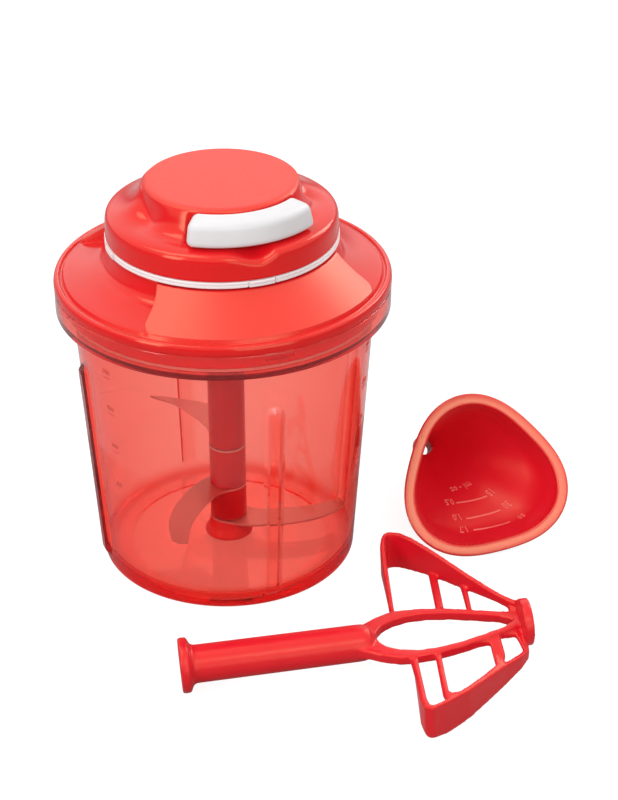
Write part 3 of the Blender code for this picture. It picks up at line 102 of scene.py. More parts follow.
def ease(value):
    """Return a smooth step from 0 to 1."""
    value = min(1.0, max(0.0, value))
    return value * value * (3.0 - 2.0 * value)


def spread(low, high, count):
    """Return evenly spaced values, both ends included."""
    return [mix(low, high, index / (count - 1)) for index in range(count)]


def spline_point(four, knots, t):
    """Return the point of a centripetal spline between its second and third points."""
    near = [mix(four[i], four[i + 1], (t - knots[i]) / (knots[i + 1] - knots[i])) for i in range(3)]
    far = [mix(near[i], near[i + 1], (t - knots[i]) / (knots[i + 2] - knots[i])) for i in range(2)]
    return mix(far[0], far[1], (t - knots[1]) / (knots[2] - knots[1]))


def smooth_path(points, steps):
    """Return a smooth line through points."""
    points = [Vector(point) for point in points]
    points = [points[0] * 2 - points[1], *points, points[-1] * 2 - points[-2]]
    out = []
    for index in range(len(points) - 3):
        four = points[index:index + 4]
        knots = [0.0]
        for here, there in zip(four, four[1:]):
            knots.append(knots[-1] + math.sqrt(max(1e-7, (there - here).length)))
        out += [spline_point(four, knots, mix(knots[1], knots[2], step / steps)) for step in range(steps)]
    return out + [points[-2]]


def rounded(corners, steps=4):
    """Return a section whose corners, given as radius, height and rounding, are rounded off."""
    out = []
    count = len(corners)
    for index, (radius, height, size) in enumerate(corners):
        here = Vector((radius, height))
        if not size:
            out.append(here)
            continue
        before = Vector(corners[index - 1][:2])
        after = Vector(corners[(index + 1) % count][:2])
        start = here + (before - here).normalized() * size
        end = here + (after - here).normalized() * size
        for step in range(steps + 1):
            share = step / steps
            out.append(mix(mix(start, here, share), mix(here, end, share), share))
    return out


def placed(place, *turns):
    """Return the matrix of a place in millimetres and of turns in degrees."""
    matrix = Matrix.Translation([value * MM for value in place])
    for turn, axis in turns:
        matrix = matrix @ Matrix.Rotation(turn * DEG, 4, axis)
    return matrix


def add(name, data):
    """Add an object to the scene."""
    item = bpy.data.objects.new(name, data)
    bpy.context.collection.objects.link(item)
    return item


def finish(mesh, name, material, sharp=50.0):
    """Turn a bmesh into an object with smooth shading."""
    bmesh.ops.recalc_face_normals(mesh, faces=mesh.faces[:])
    data = bpy.data.meshes.new(name)
    mesh.to_mesh(data)
    mesh.free()
    data.shade_smooth()
    data.set_sharp_from_angle(angle=sharp * DEG)
    data.materials.append(material)
    return add(name, data)


def skin(name, columns, material, poles=False, wrap=True, sharp=50.0):
    """Skin columns of points, which join into rings.

    With poles, each column stays open and fans round the axis fill the two rings at its ends.
    Without wrap, the last column isn't joined to the first, and fans fill these two.
    """
    mesh = bmesh.new()
    grid = [[mesh.verts.new(point) for point in column] for column in columns]
    rows = len(grid[0])
    for index in range(len(grid) if wrap else len(grid) - 1):
        here, there = grid[index], grid[(index + 1) % len(grid)]
        for row in range(rows - 1 if poles else rows):
            above = (row + 1) % rows
            mesh.faces.new((here[row], there[row], there[above], here[above]))
    fans = []
    if poles:
        rings = [[column[row] for column in grid] for row in (0, -1)]
        fans += [(ring, (0.0, 0.0, ring[0].co.z)) for ring in rings]
    if not wrap:
        fans += [(end, sum((vert.co for vert in end), Vector()) / len(end)) for end in (grid[0], grid[-1])]
    for ring, middle in fans:
        centre = mesh.verts.new(middle)
        for index, vert in enumerate(ring):
            mesh.faces.new((centre, vert, ring[(index + 1) % len(ring)]))
    return finish(mesh, name, material, sharp)


def turned(name, section, count, material, poles=False):
    """Build a plain turned solid."""
    azimuths = [FULL_TURN * index / count for index in range(count)]
    columns = [[spot(radius, azimuth, height) for radius, height in section] for azimuth in azimuths]
    return skin(name, columns, material, poles)


def from_quarter(azimuth):
    """Return how far an azimuth lies from the nearest quarter turn."""
    return (azimuth + QUARTER / 2) % QUARTER - QUARTER / 2


def show(piece, body, slot, *nodes):
    """Let a piece ride on its body and stand for its nodes."""
    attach(piece, body)
    if nodes:
        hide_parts(*nodes)
    return piece


# Materials
MIDDLE_OF_NOISE = (0.35, 0.65)
MOST_OF_NOISE = (0.3, 0.7)


class Nodes:
    """A node tree with short ways to add to it."""

    def __init__(self, tree):
        self.tree = tree

    def fill(self, node, inputs):
        """Set a node's values and link its inputs."""
        for key, value in inputs.items():
            if isinstance(value, bpy.types.NodeSocket):
                self.tree.links.new(value, node.inputs[key])
            else:
                node.inputs[key].default_value = value

    def node(self, kind, inputs, output=None, **settings):
        """Add a node and return one of its outputs, or all of them."""
        node = self.tree.nodes.new(f"ShaderNode{kind}")
        for key, value in settings.items():
            setattr(node, key, value)
        self.fill(node, inputs)
        return node.outputs[output] if output else node.outputs

    def maths(self, operation, first, second):
        """Return the sum, product or other result of two values."""
        return self.node("Math", {0: first, 1: second}, "Value", operation=operation)

    def ramp(self, value, low, high, to_low, to_high, **settings):
        """Return a value moved from one range to another."""
        inputs = {"Value": value, "From Min": low, "From Max": high, "To Min": to_low, "To Max": to_high}
        return self.node("MapRange", inputs, "Result", **settings)

    def seen(self):
        """Return the light path, and 1 where the camera looks straight or through the tinted wall."""
        path = self.node("LightPath", {})
        direct = self.maths("LESS_THAN", path["Diffuse Depth"], 0.5)
        through = self.maths("MULTIPLY", path["Is Transmission Ray"], direct)
        return path, self.maths("MAXIMUM", path["Is Camera Ray"], through)


class Paint(Nodes):
    """A material whose patterns follow the piece's own coordinates."""

    def __init__(self, name, roughness, ior=1.5):
        self.material = bpy.data.materials.new(name)
        self.material.use_nodes = True
        super().__init__(self.material.node_tree)
        self.shader = self.tree.nodes["Principled BSDF"]
        self.shade({"Roughness": roughness, "IOR": ior})
        self.coordinates = self.node("TexCoord", {}, "Object")

    def shade(self, inputs):
        """Set or feed some of the shader's sockets."""
        self.fill(self.shader, inputs)

    def noise(self, scale, detail=2.0, stretch=None):
        """Return a soft random pattern from 0 to 1."""
        inputs = {"Vector": self.coordinates, "Scale": scale, "Detail": detail}
        if stretch:
            place = {"Vector": self.coordinates, "Scale": stretch}
            inputs["Vector"] = self.node("Mapping", place, "Vector")
        return self.node("TexNoise", inputs, "Fac")

    def colour(self, factor, first, second):
        """Give the shader a colour between two."""
        inputs = {0: factor, 6: (*first, 1.0), 7: (*second, 1.0)}
        self.shade({"Base Color": self.node("Mix", inputs, 2, data_type="RGBA")})

    def cloud(self, scale, light, deep):
        """Give the shader a colour that drifts softly between two."""
        self.colour(self.ramp(self.noise(scale), *MIDDLE_OF_NOISE, 0.0, 1.0), deep, light)

    def bump(self, height, strength, distance):
        """Give the shader a bump."""
        inputs = {"Height": height, "Strength": strength, "Distance": distance}
        self.shade({"Normal": self.node("Bump", inputs, "Normal")})


def red_plastic(name, light, deep, glossy, satin=None):
    """Return moulded red plastic, with a satin finish where the mesh says so."""
    paint = Paint(name, glossy, ior=1.45)
    paint.shade({
        "Specular Tint": (1.0, 0.93, 0.55, 1.0),
        "Sheen Weight": 0.12,
        "Sheen Roughness": 0.40,
        "Sheen Tint": (1.0, 0.62, 0.45, 1.0),
    })
    paint.cloud(38.0, light, deep)
    rough = paint.ramp(paint.noise(120.0), *MOST_OF_NOISE, glossy * 0.9, glossy * 1.15)
    if satin:
        fine = paint.noise(1500.0, 1.0)
        grain = paint.ramp(fine, *MIDDLE_OF_NOISE, satin * 0.9, satin * 1.1)
        mask = paint.node("Attribute", {}, "Fac", attribute_name="satin")
        difference = paint.maths("SUBTRACT", grain, rough)
        rough = paint.maths("ADD", rough, paint.maths("MULTIPLY", difference, mask))
        paint.shade({"Specular IOR Level": paint.ramp(mask, 0.0, 1.0, 0.5, 1.0)})
        paint.bump(paint.maths("MULTIPLY", fine, mask), 0.25, 0.06 * MM)
    else:
        paint.bump(paint.noise(700.0, 1.0), 0.06, 0.04 * MM)
    paint.shade({"Roughness": rough})
    return paint.material


def white_plastic(name, light, deep, roughness):
    """Return moulded white plastic."""
    paint = Paint(name, roughness, ior=1.46)
    paint.cloud(60.0, light, deep)
    fine = paint.noise(2400.0, 1.0)
    paint.shade({"Roughness": paint.ramp(fine, *MOST_OF_NOISE, roughness * 0.9, roughness * 1.12)})
    paint.bump(fine, 0.18, 0.04 * MM)
    return paint.material


def brushed_steel(name, tone):
    """Return rolled steel with fine scratches along it."""
    paint = Paint(name, 0.4)
    lines = paint.noise(160.0, 4.0, stretch=(1.0, 14.0, 14.0))
    paint.colour(lines, [value * 0.93 for value in tone], tone)
    paint.shade({"Metallic": 0.7, "Roughness": paint.ramp(lines, *MOST_OF_NOISE, 0.34, 0.46)})
    paint.bump(lines, 0.05, 0.02 * MM)
    return paint.material


def tinted_plastic(name, tint, absorbed, density, scattered, scattered_share, lamp_tint):
    """Return clear tinted plastic that lets the lamps through and scatters a little light."""
    paint = Paint(name, 0.03, ior=1.16)
    paint.shade({
        "Base Color": (*tint, 1.0),
        "Transmission Weight": 1.0,
        "Coat Weight": 0.8,
        "Coat IOR": 1.5,
        "Coat Roughness": 0.04,
        "Roughness": paint.ramp(paint.noise(70.0), *MOST_OF_NOISE, 0.015, 0.045),
    })
    paint.bump(paint.noise(55.0, 1.0), 0.02, 0.1 * MM)
    lamp_ray = paint.node("LightPath", {}, "Is Shadow Ray")
    surface = paint.shader.outputs["BSDF"]
    kinds = (("BsdfDiffuse", scattered, scattered_share), ("BsdfTransparent", lamp_tint, lamp_ray))
    for kind, colour, share in kinds:
        other = paint.node(kind, {"Color": (*colour, 1.0)}, "BSDF")
        surface = paint.node("MixShader", {0: share, 1: surface, 2: other}, "Shader")
    inputs = {"Color": (*absorbed, 1.0), "Density": density}
    volume = paint.node("VolumeAbsorption", inputs, "Volume")
    paint.fill(paint.tree.nodes["Material Output"], {"Surface": surface, "Volume": volume})
    return paint.material


def braided_cord(name):
    """Return a braided cord with its strands crossing."""
    paint = Paint(name, 0.85)
    waves = []
    for slant in (0.8, -0.8):
        inputs = {"Vector": paint.coordinates, "Rotation": (0.0, slant, slant)}
        inputs = {"Vector": paint.node("Mapping", inputs, "Vector"), "Scale": 420.0}
        waves.append(paint.node("TexWave", inputs, "Fac"))
    weave = paint.maths("MAXIMUM", *waves)
    paint.colour(weave, (0.55, 0.53, 0.50), (0.88, 0.87, 0.84))
    paint.bump(weave, 0.6, 0.2 * MM)
    return paint.material


SOFT_TONES = ((0.76, 0.007, 0.022), (0.73, 0.005, 0.019))
RED = red_plastic("red_gloss", (0.76, 0.004, 0.012), (0.73, 0.003, 0.010), 0.14, satin=0.40)
RED_SOFT = red_plastic("red_soft", *SOFT_TONES, 0.32)
RED_RIM = red_plastic("red_rim", *SOFT_TONES, 0.32, satin=0.24)
# A darker copy of the soft red for the column's spacers and upper length: painted shade for the dim light
# inside the bowl under the lid. The column's foot keeps the soft red.
COLUMN_RED_PAINTED_SHADE = red_plastic("column_red_painted_shade", (0.50, 0.008, 0.022), (0.47, 0.006, 0.020), 0.34)
WHITE = white_plastic("white_satin", (0.73, 0.715, 0.72), (0.70, 0.685, 0.69), 0.36)
STEEL = brushed_steel("blade_steel", (0.64, 0.60, 0.58))
TINT = tinted_plastic(
    "clear_red", (1.0, 0.93, 0.92), (0.948, 0.245, 0.115), 350.0,
    scattered=(0.80, 0.03, 0.05), scattered_share=0.06, lamp_tint=(0.43, 0.27, 0.27),
)
MARK = white_plastic("mark_red", (0.86, 0.16, 0.13), (0.82, 0.14, 0.11), 0.5)
RING_WHITE = white_plastic("ring_white", (0.90, 0.88, 0.88), (0.87, 0.85, 0.85), 0.3)
RUBBER = white_plastic("gasket_rubber", (0.80, 0.78, 0.76), (0.74, 0.72, 0.70), 0.6)
CORD = braided_cord("white_cord")


# Bowl
RIB_HALF_ANGLE = 4.6 * DEG
RIB_DEPTH = 2.3 * MM
RIB_START = 5.0 * MM
RIB_RAMP = 4.0 * MM
RIB_TOP = 119.5 * MM
RIB_ROUND = 5.8 * MM
RIB_SLOPE = 0.52
FLANK_FILLET = 0.12
HOLLOW_SHARE = 0.9
HOLLOW_DEPTH = 0.55
BOWL_WALL = 2.4 * MM
BOWL_FLOOR = 4.0 * MM
FLOOR_ROUND = 8.0 * MM
BASE_RECESS = 1.2 * MM
RECESS_RADIUS = 52.0 * MM
RECESS_EDGE = 2.2 * MM
BOSS_TOP = 8.0 * MM
PIN_BORE = PIN_RADIUS + GAP
SHELF_UNDER = 141.7 * MM
SHELF_INNER = WALL_TOP_RADIUS - BOWL_WALL
LEDGE_HALF_ANGLE = 5.0 * DEG
LEDGE_STEP = 0.12 * DEG
LEDGE_HIGH = 151.3 * MM
LEDGE_LOW = 149.5 * MM
LEDGE_REACH = 1.6 * MM


def rib_bulge(azimuth, height, width_share=1.0):
    """Return how far the nearest upright rib stands out of the wall."""
    away = abs(from_quarter(azimuth)) / (RIB_HALF_ANGLE * width_share)
    over = max(0.0, height - (RIB_TOP - RIB_ROUND)) / (RIB_ROUND * width_share)
    ramp = ease((height - RIB_START) / RIB_RAMP)
    return RIB_DEPTH * ramp * flank((1.0 - math.hypot(away, over)) / RIB_SLOPE)


def rib_hollow(azimuth, height):
    """Return how deep the hollow behind the nearest rib is."""
    return HOLLOW_DEPTH * rib_bulge(azimuth, height, HOLLOW_SHARE)


def flank(value):
    """Return a straight rise from 0 to 1 with a small fillet at both ends."""
    value = min(1.0, max(0.0, value))
    if value > 0.5:
        return 1.0 - flank(1.0 - value)
    if value < FLANK_FILLET:
        return value * value / (2 * FLANK_FILLET * (1 - FLANK_FILLET))
    return (value - FLANK_FILLET / 2) / (1 - FLANK_FILLET)


def bowl_wall(height):
    """Return the wall's outer radius."""
    return mix(BASE_RADIUS, WALL_TOP_RADIUS, height / SHELF_UNDER)


def bowl_azimuths():
    """Return azimuths that are closest at the ribs and the ledges."""
    offsets = {share * RIB_HALF_ANGLE for share in [0.0, 0.2, 0.34] + spread(0.42, 1.0, 25)}
    offsets |= {LEDGE_HALF_ANGLE, LEDGE_HALF_ANGLE + LEDGE_STEP}
    edge = max(offsets)
    offsets |= {-offset for offset in offsets} | set(spread(edge, QUARTER - edge, 46)[1:-1])
    return [turn * QUARTER + offset for turn in range(4) for offset in sorted(offsets)]


def bowl_column(azimuth):
    """Return the bowl's section at an azimuth, from its underside up the outside and down inside."""
    heights = [value * MM for value in (5, 6, 7, 8, 9, *range(20, 112, 10))]
    heights += [RIB_TOP - RIB_ROUND * (1 - share) for share in [0.0, 0.2] + spread(0.34, 1.0, 18)]
    heights.append(RIB_TOP + MM)
    rows = [(20.0 * MM, BASE_RECESS)]
    for share in spread(-1.0, 1.0, 9):
        rows.append((RECESS_RADIUS + RECESS_EDGE * share, BASE_RECESS * (1 - ease((share + 1) / 2))))
    foot = [(RECESS_RADIUS, 0.0, 0.0), (BASE_RADIUS, 0.0, 1.5 * MM), (bowl_wall(5 * MM), 4.8 * MM, 0.0)]
    rows += rounded(foot, 8)[1:-1]
    rows += [(bowl_wall(height) + rib_bulge(azimuth, height), height) for height in heights]
    ledge = COLLAR_INNER
    if abs(from_quarter(azimuth)) <= LEDGE_HALF_ANGLE + 1e-6:
        ledge -= LEDGE_REACH
    rows += rounded([
        (WALL_TOP_RADIUS, SHELF_UNDER - 4.0 * MM, 0.0),
        (WALL_TOP_RADIUS, SHELF_UNDER - 0.1 * MM, 1.2 * MM),
        (COLLAR_RADIUS, SHELF_UNDER, 1.0 * MM),
        (COLLAR_RADIUS, BOWL_HEIGHT, 0.8 * MM),
        (COLLAR_INNER, BOWL_HEIGHT, 0.7 * MM),
        (COLLAR_INNER, LEDGE_HIGH + 0.05 * MM, 0.0),
        (ledge, LEDGE_HIGH, 0.0),
        (ledge, LEDGE_LOW, 0.0),
        (COLLAR_INNER, LEDGE_LOW - 0.05 * MM, 0.0),
        (COLLAR_INNER, SHELF_TOP, 0.6 * MM),
        (SHELF_INNER, SHELF_TOP, 0.9 * MM),
        (SHELF_INNER, SHELF_TOP - 6.0 * MM, 0.0),
    ])
    for height in heights[::-1]:
        if height > BOWL_FLOOR + 10.0 * MM:
            rows.append((bowl_wall(height) - BOWL_WALL + rib_hollow(azimuth, height), height))
    bend = BOWL_FLOOR + FLOOR_ROUND
    for angle in spread(0.0, QUARTER, 8):
        height = bend - FLOOR_ROUND * math.sin(angle)
        lift = rib_hollow(azimuth, bend + MM) * ease((height - BOWL_FLOOR) / FLOOR_ROUND)
        rows.append((bowl_wall(bend) - BOWL_WALL - FLOOR_ROUND * (1 - math.cos(angle)) + lift, height))
    rows += [
        (12.0 * MM, BOWL_FLOOR),
        (9.2 * MM, BOWL_FLOOR + 0.4 * MM),
        (7.6 * MM, BOSS_TOP - 0.6 * MM),
        (7.0 * MM, BOSS_TOP),
        (PIN_BORE, BOSS_TOP),
        (PIN_BORE, 2.2 * MM),
    ]
    return [spot(radius, azimuth, height) for radius, height in rows]


def make_bowl():
    """Build the tinted bowl."""
    columns = [bowl_column(azimuth) for azimuth in bowl_azimuths()]
    bowl = skin("bowl_shell", columns, TINT, poles=True, sharp=40.0)
    show(bowl, "bowl", "tinted_bowl", "bowl")


# Cover
PANEL_HALF_ANGLE = 49.3 * DEG
PANEL_TURN = 1.2 * DEG
PANEL_FLARE = 3.0 * DEG
PANEL_FLARE_END = 70.0 * MM
PANEL_CORNER = 4.2 * MM
PANEL_EDGE = 1.0 * MM
PANEL_TOP = NECK_TOP - 0.6 * MM
PANEL_LOW = 161.0 * MM
PLAIN_LOW = 160.2 * MM
PANEL_OUTER = 78.8 * MM
NECK = 56.4 * MM
NECK_OUTER = 59.0 * MM
SKIRT_FOOT = 145.9 * MM
SKIRT_INNER = SKIRT_RADIUS - 2.1 * MM
COVER_WALL = 2.4 * MM
COVER_DROP = 3.1 * MM


def panel_distance(azimuth, radius):
    """Return how far a place on the cover lies inside the nearer grip panel's edge."""
    away = abs(math.remainder(azimuth - PANEL_TURN, math.pi))
    flare = PANEL_FLARE * max(0.0, (PANEL_FLARE_END - radius) / (PANEL_FLARE_END - NECK_OUTER)) ** 2
    side = radius * (PANEL_HALF_ANGLE + flare - away)
    down = PANEL_OUTER - radius
    if side < PANEL_CORNER and down < PANEL_CORNER:
        return PANEL_CORNER - math.hypot(PANEL_CORNER - side, PANEL_CORNER - down)
    return side


def panel_weight(azimuth, radius):
    """Return 1 on a grip panel and 0 beside it."""
    return ease(panel_distance(azimuth, radius) / PANEL_EDGE + 0.5)


def cover_azimuths():
    """Return azimuths that are closest at the grip panels' sides."""
    near = spread(-6.1, -1.1, 11) + spread(-0.6, 0.6, 13) + spread(0.9, 3.9, 11) + [4.3]
    offsets = {PANEL_HALF_ANGLE + value * DEG for value in near}
    start, end = min(offsets), max(offsets)
    offsets |= set(spread(0.0, start, 26)[:-1]) | set(spread(end, math.pi - end, 60)[1:-1])
    half = sorted({round(value, 6) for value in offsets | {math.pi - value for value in offsets}})
    return [PANEL_TURN + side + value for side in (0.0, math.pi) for value in half[:-1]]


def plain_line():
    """Return the cover's surface beside the panels, as radius, height and share of the way out."""
    shares = ((0.0, 0.0, 0.0), (0.06, 0.20, 0.22), (0.14, 0.36, 0.34), (0.30, 0.48, 0.45),
              (0.55, 0.68, 0.66), (0.78, 0.84, 0.82), (0.92, 0.93, 0.94), (1.0, 1.0, 1.0))
    points = []
    for along, fall, reach in shares:
        radius = mix(NECK, PANEL_OUTER, 0.16 * reach + 0.84 * along)
        points.append((radius, mix(PANEL_TOP, PLAIN_LOW, math.sqrt(fall)), along))
    return points


def line_at(line, along):
    """Return the radius and height of a line of points at a share of the way along."""
    for here, there in zip(line, line[1:]):
        if along <= there.z + 1e-9:
            weight = (along - here.z) / max(1e-9, there.z - here.z)
            return mix(here.x, there.x, weight), mix(here.y, there.y, weight)
    return line[-1].x, line[-1].y


def make_cover():
    """Build the cover with its raised grip panels."""
    plain = smooth_path(plain_line(), 10)
    alongs = sorted(set(spread(0.0, 0.16, 12)) | set(spread(0.16, 0.74, 22)) | set(spread(0.74, 1.0, 22)))
    outer_rim = rounded([
        (PANEL_OUTER, PLAIN_LOW, 0.0),
        (79.6 * MM, 158.4 * MM, 0.5 * MM),
        (80.5 * MM, 158.2 * MM, 0.4 * MM),
        (81.3 * MM, 159.6 * MM, 0.7 * MM),
        (83.2 * MM, 159.4 * MM, 0.9 * MM),
        (BRIM_RADIUS, 157.2 * MM, 0.9 * MM),
        (BRIM_RADIUS, COVER_BASE, 0.5 * MM),
        (SKIRT_RADIUS, COVER_BASE, 0.3 * MM),
        (SKIRT_RADIUS, SKIRT_FOOT, 0.4 * MM),
        (SKIRT_INNER, SKIRT_FOOT, 0.4 * MM),
        (SKIRT_INNER, COVER_BASE + GAP, 0.0),
    ])[1:]
    flange = [(r * MM, z * MM) for r, z in ((54.0, 172.9), (46.0, 172.9), (46.0, 175.3), (53.2, 175.3))]
    columns, satin = [], []
    for azimuth in cover_azimuths():
        weight = panel_weight(azimuth, NECK_OUTER)
        rows = [(53.5 * MM, NECK_TOP), (mix(NECK - GAP, NECK_OUTER - 0.7 * MM, weight), NECK_TOP)]
        marks = [0.0, 0.0]
        for along in alongs:
            plain_radius, plain_height = line_at(plain, along)
            radius, height = mix(NECK_OUTER, PANEL_OUTER, along), mix(PANEL_TOP, PANEL_LOW, along)
            weight = panel_weight(azimuth, radius)
            rows.append((mix(plain_radius, radius, weight), mix(plain_height, height, weight)))
            marks.append(weight)
        rows += outer_rim
        for along, fall in ((0.88, 0.90), (0.35, 0.52), (0.0, 0.40)):
            radius = mix(NECK - COVER_WALL, SKIRT_INNER, along)
            low = mix(NECK_TOP, PLAIN_LOW, fall) - COVER_DROP
            high = max(low, mix(NECK_TOP, PANEL_LOW, along) - COVER_DROP)
            lift = ease((panel_distance(azimuth, radius) - COVER_WALL) / PANEL_EDGE) * (along > 0)
            rows.append((radius, mix(low, high, lift)))
        rows += flange
        columns.append([spot(radius, azimuth, height) for radius, height in rows])
        satin += marks + [0.0] * (len(rows) - len(marks))
    cover = skin("cover_shell", columns, RED, sharp=38.0)
    add_mask(cover, satin)
    show(cover, "lid", "red_plastic", "lid_cover")


def add_mask(piece, values):
    """Keep the satin finish's weight on the mesh's points."""
    layer = piece.data.attributes.new("satin", "FLOAT", "POINT")
    values = list(values) + [0.0] * (len(piece.data.vertices) - len(values))
    layer.data.foreach_set("value", values)


# Snap ring
RING_OUTER = CAP_RADIUS + 0.5 * MM
RING_INNER = RING_OUTER - 3.2 * MM
GROOVE_LEVEL = (RING_BASE + RING_TOP) / 2 + 0.2 * MM
GROOVE_HALF = 0.3 * MM
TAB_HALF_ANGLE = 6.2 * DEG
TAB_STEP = 0.1 * DEG
TAB_PROUD = 0.45 * MM
SLIT_END = TAB_HALF_ANGLE + 0.8 * DEG
SLIT_DEPTH = 0.9 * MM


def make_ring():
    """Build the white snap ring with its fine groove, its tabs and the slits beside them."""
    section = rounded([
        (RING_INNER, RING_BASE + GAP, 0.0),
        (RING_OUTER, RING_BASE + GAP, 0.4 * MM),
        (RING_OUTER, GROOVE_LEVEL - GROOVE_HALF, 0.1 * MM),
        (RING_OUTER - 0.7 * MM, GROOVE_LEVEL, 0.1 * MM),
        (RING_OUTER, GROOVE_LEVEL + GROOVE_HALF, 0.1 * MM),
        (RING_OUTER, RING_TOP, 0.4 * MM),
        (RING_INNER, RING_TOP, 0.0),
    ], 3)
    edges = [edge + shift for edge in (TAB_HALF_ANGLE, SLIT_END) for shift in (0.0, TAB_STEP)]
    offsets = spread(-TAB_HALF_ANGLE, TAB_HALF_ANGLE, 14) + edges + [-edge for edge in edges]
    offsets += spread(SLIT_END + TAB_STEP, QUARTER - SLIT_END - TAB_STEP, 30)
    offsets = sorted({round(offset, 6) for offset in offsets})[:-1]
    columns = []
    for azimuth in [turn * QUARTER + offset for turn in range(4) for offset in offsets]:
        away = abs(from_quarter(azimuth)) - TAB_STEP / 2
        column = []
        for radius, height in section:
            if away < TAB_HALF_ANGLE:
                if radius > RING_OUTER - 0.6 * MM:
                    radius = RING_OUTER + TAB_PROUD - max(0.0, abs(height - GROOVE_LEVEL) - 1.2 * MM)
            elif away < SLIT_END:
                radius = min(radius, RING_OUTER - SLIT_DEPTH)
            column.append(spot(radius, azimuth, height))
        columns.append(column)
    show(skin("ring_band", columns, RING_WHITE, sharp=35.0), "lid", "white_plastic", "snap_ring")


# Cap
SCOOP_FULL = 72.0 * DEG
SCOOP_END = 102.0 * DEG
SKIRT_START = 39.4 * DEG
SKIRT_RISE = 4.0 * DEG
SKIRT_END = 86.0 * DEG
SKIRT_FALL = 30.0 * DEG
NOTCH_DEPTH = 3.5 * MM
NOTCH_LEFT = 17.0 * DEG
NOTCH_RIGHT = 10.5 * DEG
CAP_WALL = 2.5 * MM
PAD_RISE = CAP_TOP - SHOULDER
PAD_CROWN = 0.12 * MM
PAD_ROWS = 12
PAD_SATIN = 1.35
CORD_HOLE_RADIUS = 2.7 * MM
# Each row holds shares of the way out to the side, on the plain cap and in the scoop without and with
# its skirt, then shares of the way up to the pad in the same three, and the notch's share.
CAP_OUTSIDE = (
    (0.972, 0.970, 0.970, -0.115, -0.115, -0.115, 1.0),
    (0.932, 0.928, 0.928, -0.048, -0.046, -0.046, 1.0),
    (0.86, 0.86, 0.86, 0.0, 0.0, 0.0, 1.0),
    (0.68, 0.70, 0.70, 0.09, 0.05, 0.05, 0.9),
    (0.47, 0.47, 0.50, 0.23, 0.07, 0.09, 0.6),
    (0.29, 0.27, 0.33, 0.42, 0.07, 0.17, 0.25),
    (0.16, 0.135, 0.19, 0.64, 0.09, 0.38, 0.0),
    (0.075, 0.06, 0.10, 0.84, 0.24, 0.69, 0.0),
    (0.03, 0.03, 0.04, 0.88, 0.80, 0.86, 0.0),
)


def cap_column(azimuth):
    """Return the cap's rows up the outside and down the inside."""
    turn = math.remainder(azimuth, FULL_TURN)
    away = abs(turn)
    scoop = 1.0 - ease((away - SCOOP_FULL) / (SCOOP_END - SCOOP_FULL))
    reach = NOTCH_LEFT if turn < 0 else NOTCH_RIGHT
    skirt = ease((away - SKIRT_START) / SKIRT_RISE) * ease((SKIRT_END - away) / SKIRT_FALL)
    notch = NOTCH_DEPTH * math.cos(QUARTER * away / reach) ** 2 if away < reach else 0.0
    side = [
        (CAP_RADIUS - 0.3 * MM, CAP_BASE),
        (CAP_RADIUS - 0.05 * MM, CAP_BASE + 0.3 * MM),
        (CAP_RADIUS, CAP_BASE + 4.8 * MM),
        (CAP_RADIUS - 0.1 * MM, SHOULDER - 3.6 * MM - notch),
    ]
    for plain, bare, full, rise, bare_rise, full_rise, drop in CAP_OUTSIDE:
        radius = mix(PAD_RADIUS, CAP_RADIUS, mix(plain, mix(bare, full, skirt), scoop))
        height = SHOULDER + PAD_RISE * mix(rise, mix(bare_rise, full_rise, skirt), scoop) - notch * drop
        side.append((radius, height))
    side += [
        (PAD_RADIUS + 0.1 * MM, CAP_TOP - 1.2 * MM),
        (PAD_RADIUS - 0.8 * MM, CAP_TOP - 0.4 * MM),
        (PAD_RADIUS - 2.2 * MM, CAP_TOP - 0.03 * MM),
    ]
    outside = [tuple(point) for point in smooth_path(side, 5)]
    inner_shares = (
        (0.00, 0.00, 1.00, 1.00, 0.0),
        (0.08, 0.05, 0.95, 0.78, 0.0),
        (0.20, 0.07, 0.75, 0.10, 0.0),
        (0.38, 0.30, 0.48, 0.03, 0.2),
        (0.62, 0.60, 0.20, 0.02, 0.6),
        (0.88, 0.86, 0.02, -0.02, 1.0),
    )
    inside = []
    inner = CAP_RADIUS - CAP_WALL
    for plain, scooped, rise, seat, drop in inner_shares:
        radius = mix(PAD_RADIUS - CAP_WALL - 1.1 * MM, inner, mix(plain, scooped, scoop))
        height = mix(SHOULDER - CAP_WALL, CAP_CEILING, mix(rise, seat, scoop)) - notch * drop
        inside.append((radius, height))
    inside += [(inner, CAP_BASE + 4.4 * MM), (inner - GAP, CAP_BASE)]
    return outside, inside


def cap_azimuths():
    """Return azimuths that are closest at the notch and at the scoop's ends."""
    ends = set(spread(SCOOP_FULL, SCOOP_END, 16)) | set(spread(SCOOP_END, math.pi, 40))
    right, left = (
        ends | set(spread(0.0, notch, 16)) | set(spread(notch, SCOOP_FULL, 60))
        for notch in (NOTCH_RIGHT, NOTCH_LEFT)
    )
    return sorted(right | {FULL_TURN - value for value in left - {0.0}})


def make_cap():
    """Build the cap with its pad, its scoop and the cord's hole."""
    columns, satin = [], []
    for azimuth in cap_azimuths():
        outside, inside = cap_column(azimuth)
        pad_edge = outside[-1][0]
        shares = (0.985, 0.93, 0.8, 0.55, 0.25)
        top = [(pad_edge * share, CAP_TOP + PAD_CROWN * (1 - share)) for share in shares]
        ceiling = [(inside[0][0] * share, CAP_CEILING) for share in (0.3, 0.8)]
        rows = ceiling + inside + outside + top
        columns.append([spot(radius, azimuth, height) for radius, height in rows])
        pad = [PAD_SATIN / 2] * 2 + [PAD_SATIN] * (PAD_ROWS - 2 + len(top))
        satin += [0.0] * (len(rows) - len(pad)) + pad
    cap = skin("cap_shell", columns, RED, poles=True, sharp=42.0)
    add_mask(cap, satin + [0.0, PAD_SATIN])
    bore(cap, CORD_HOLE_RADIUS, PAD_RADIUS / 2, PAD_RADIUS)
    show(cap, "lid", "red_plastic", "cap_housing")


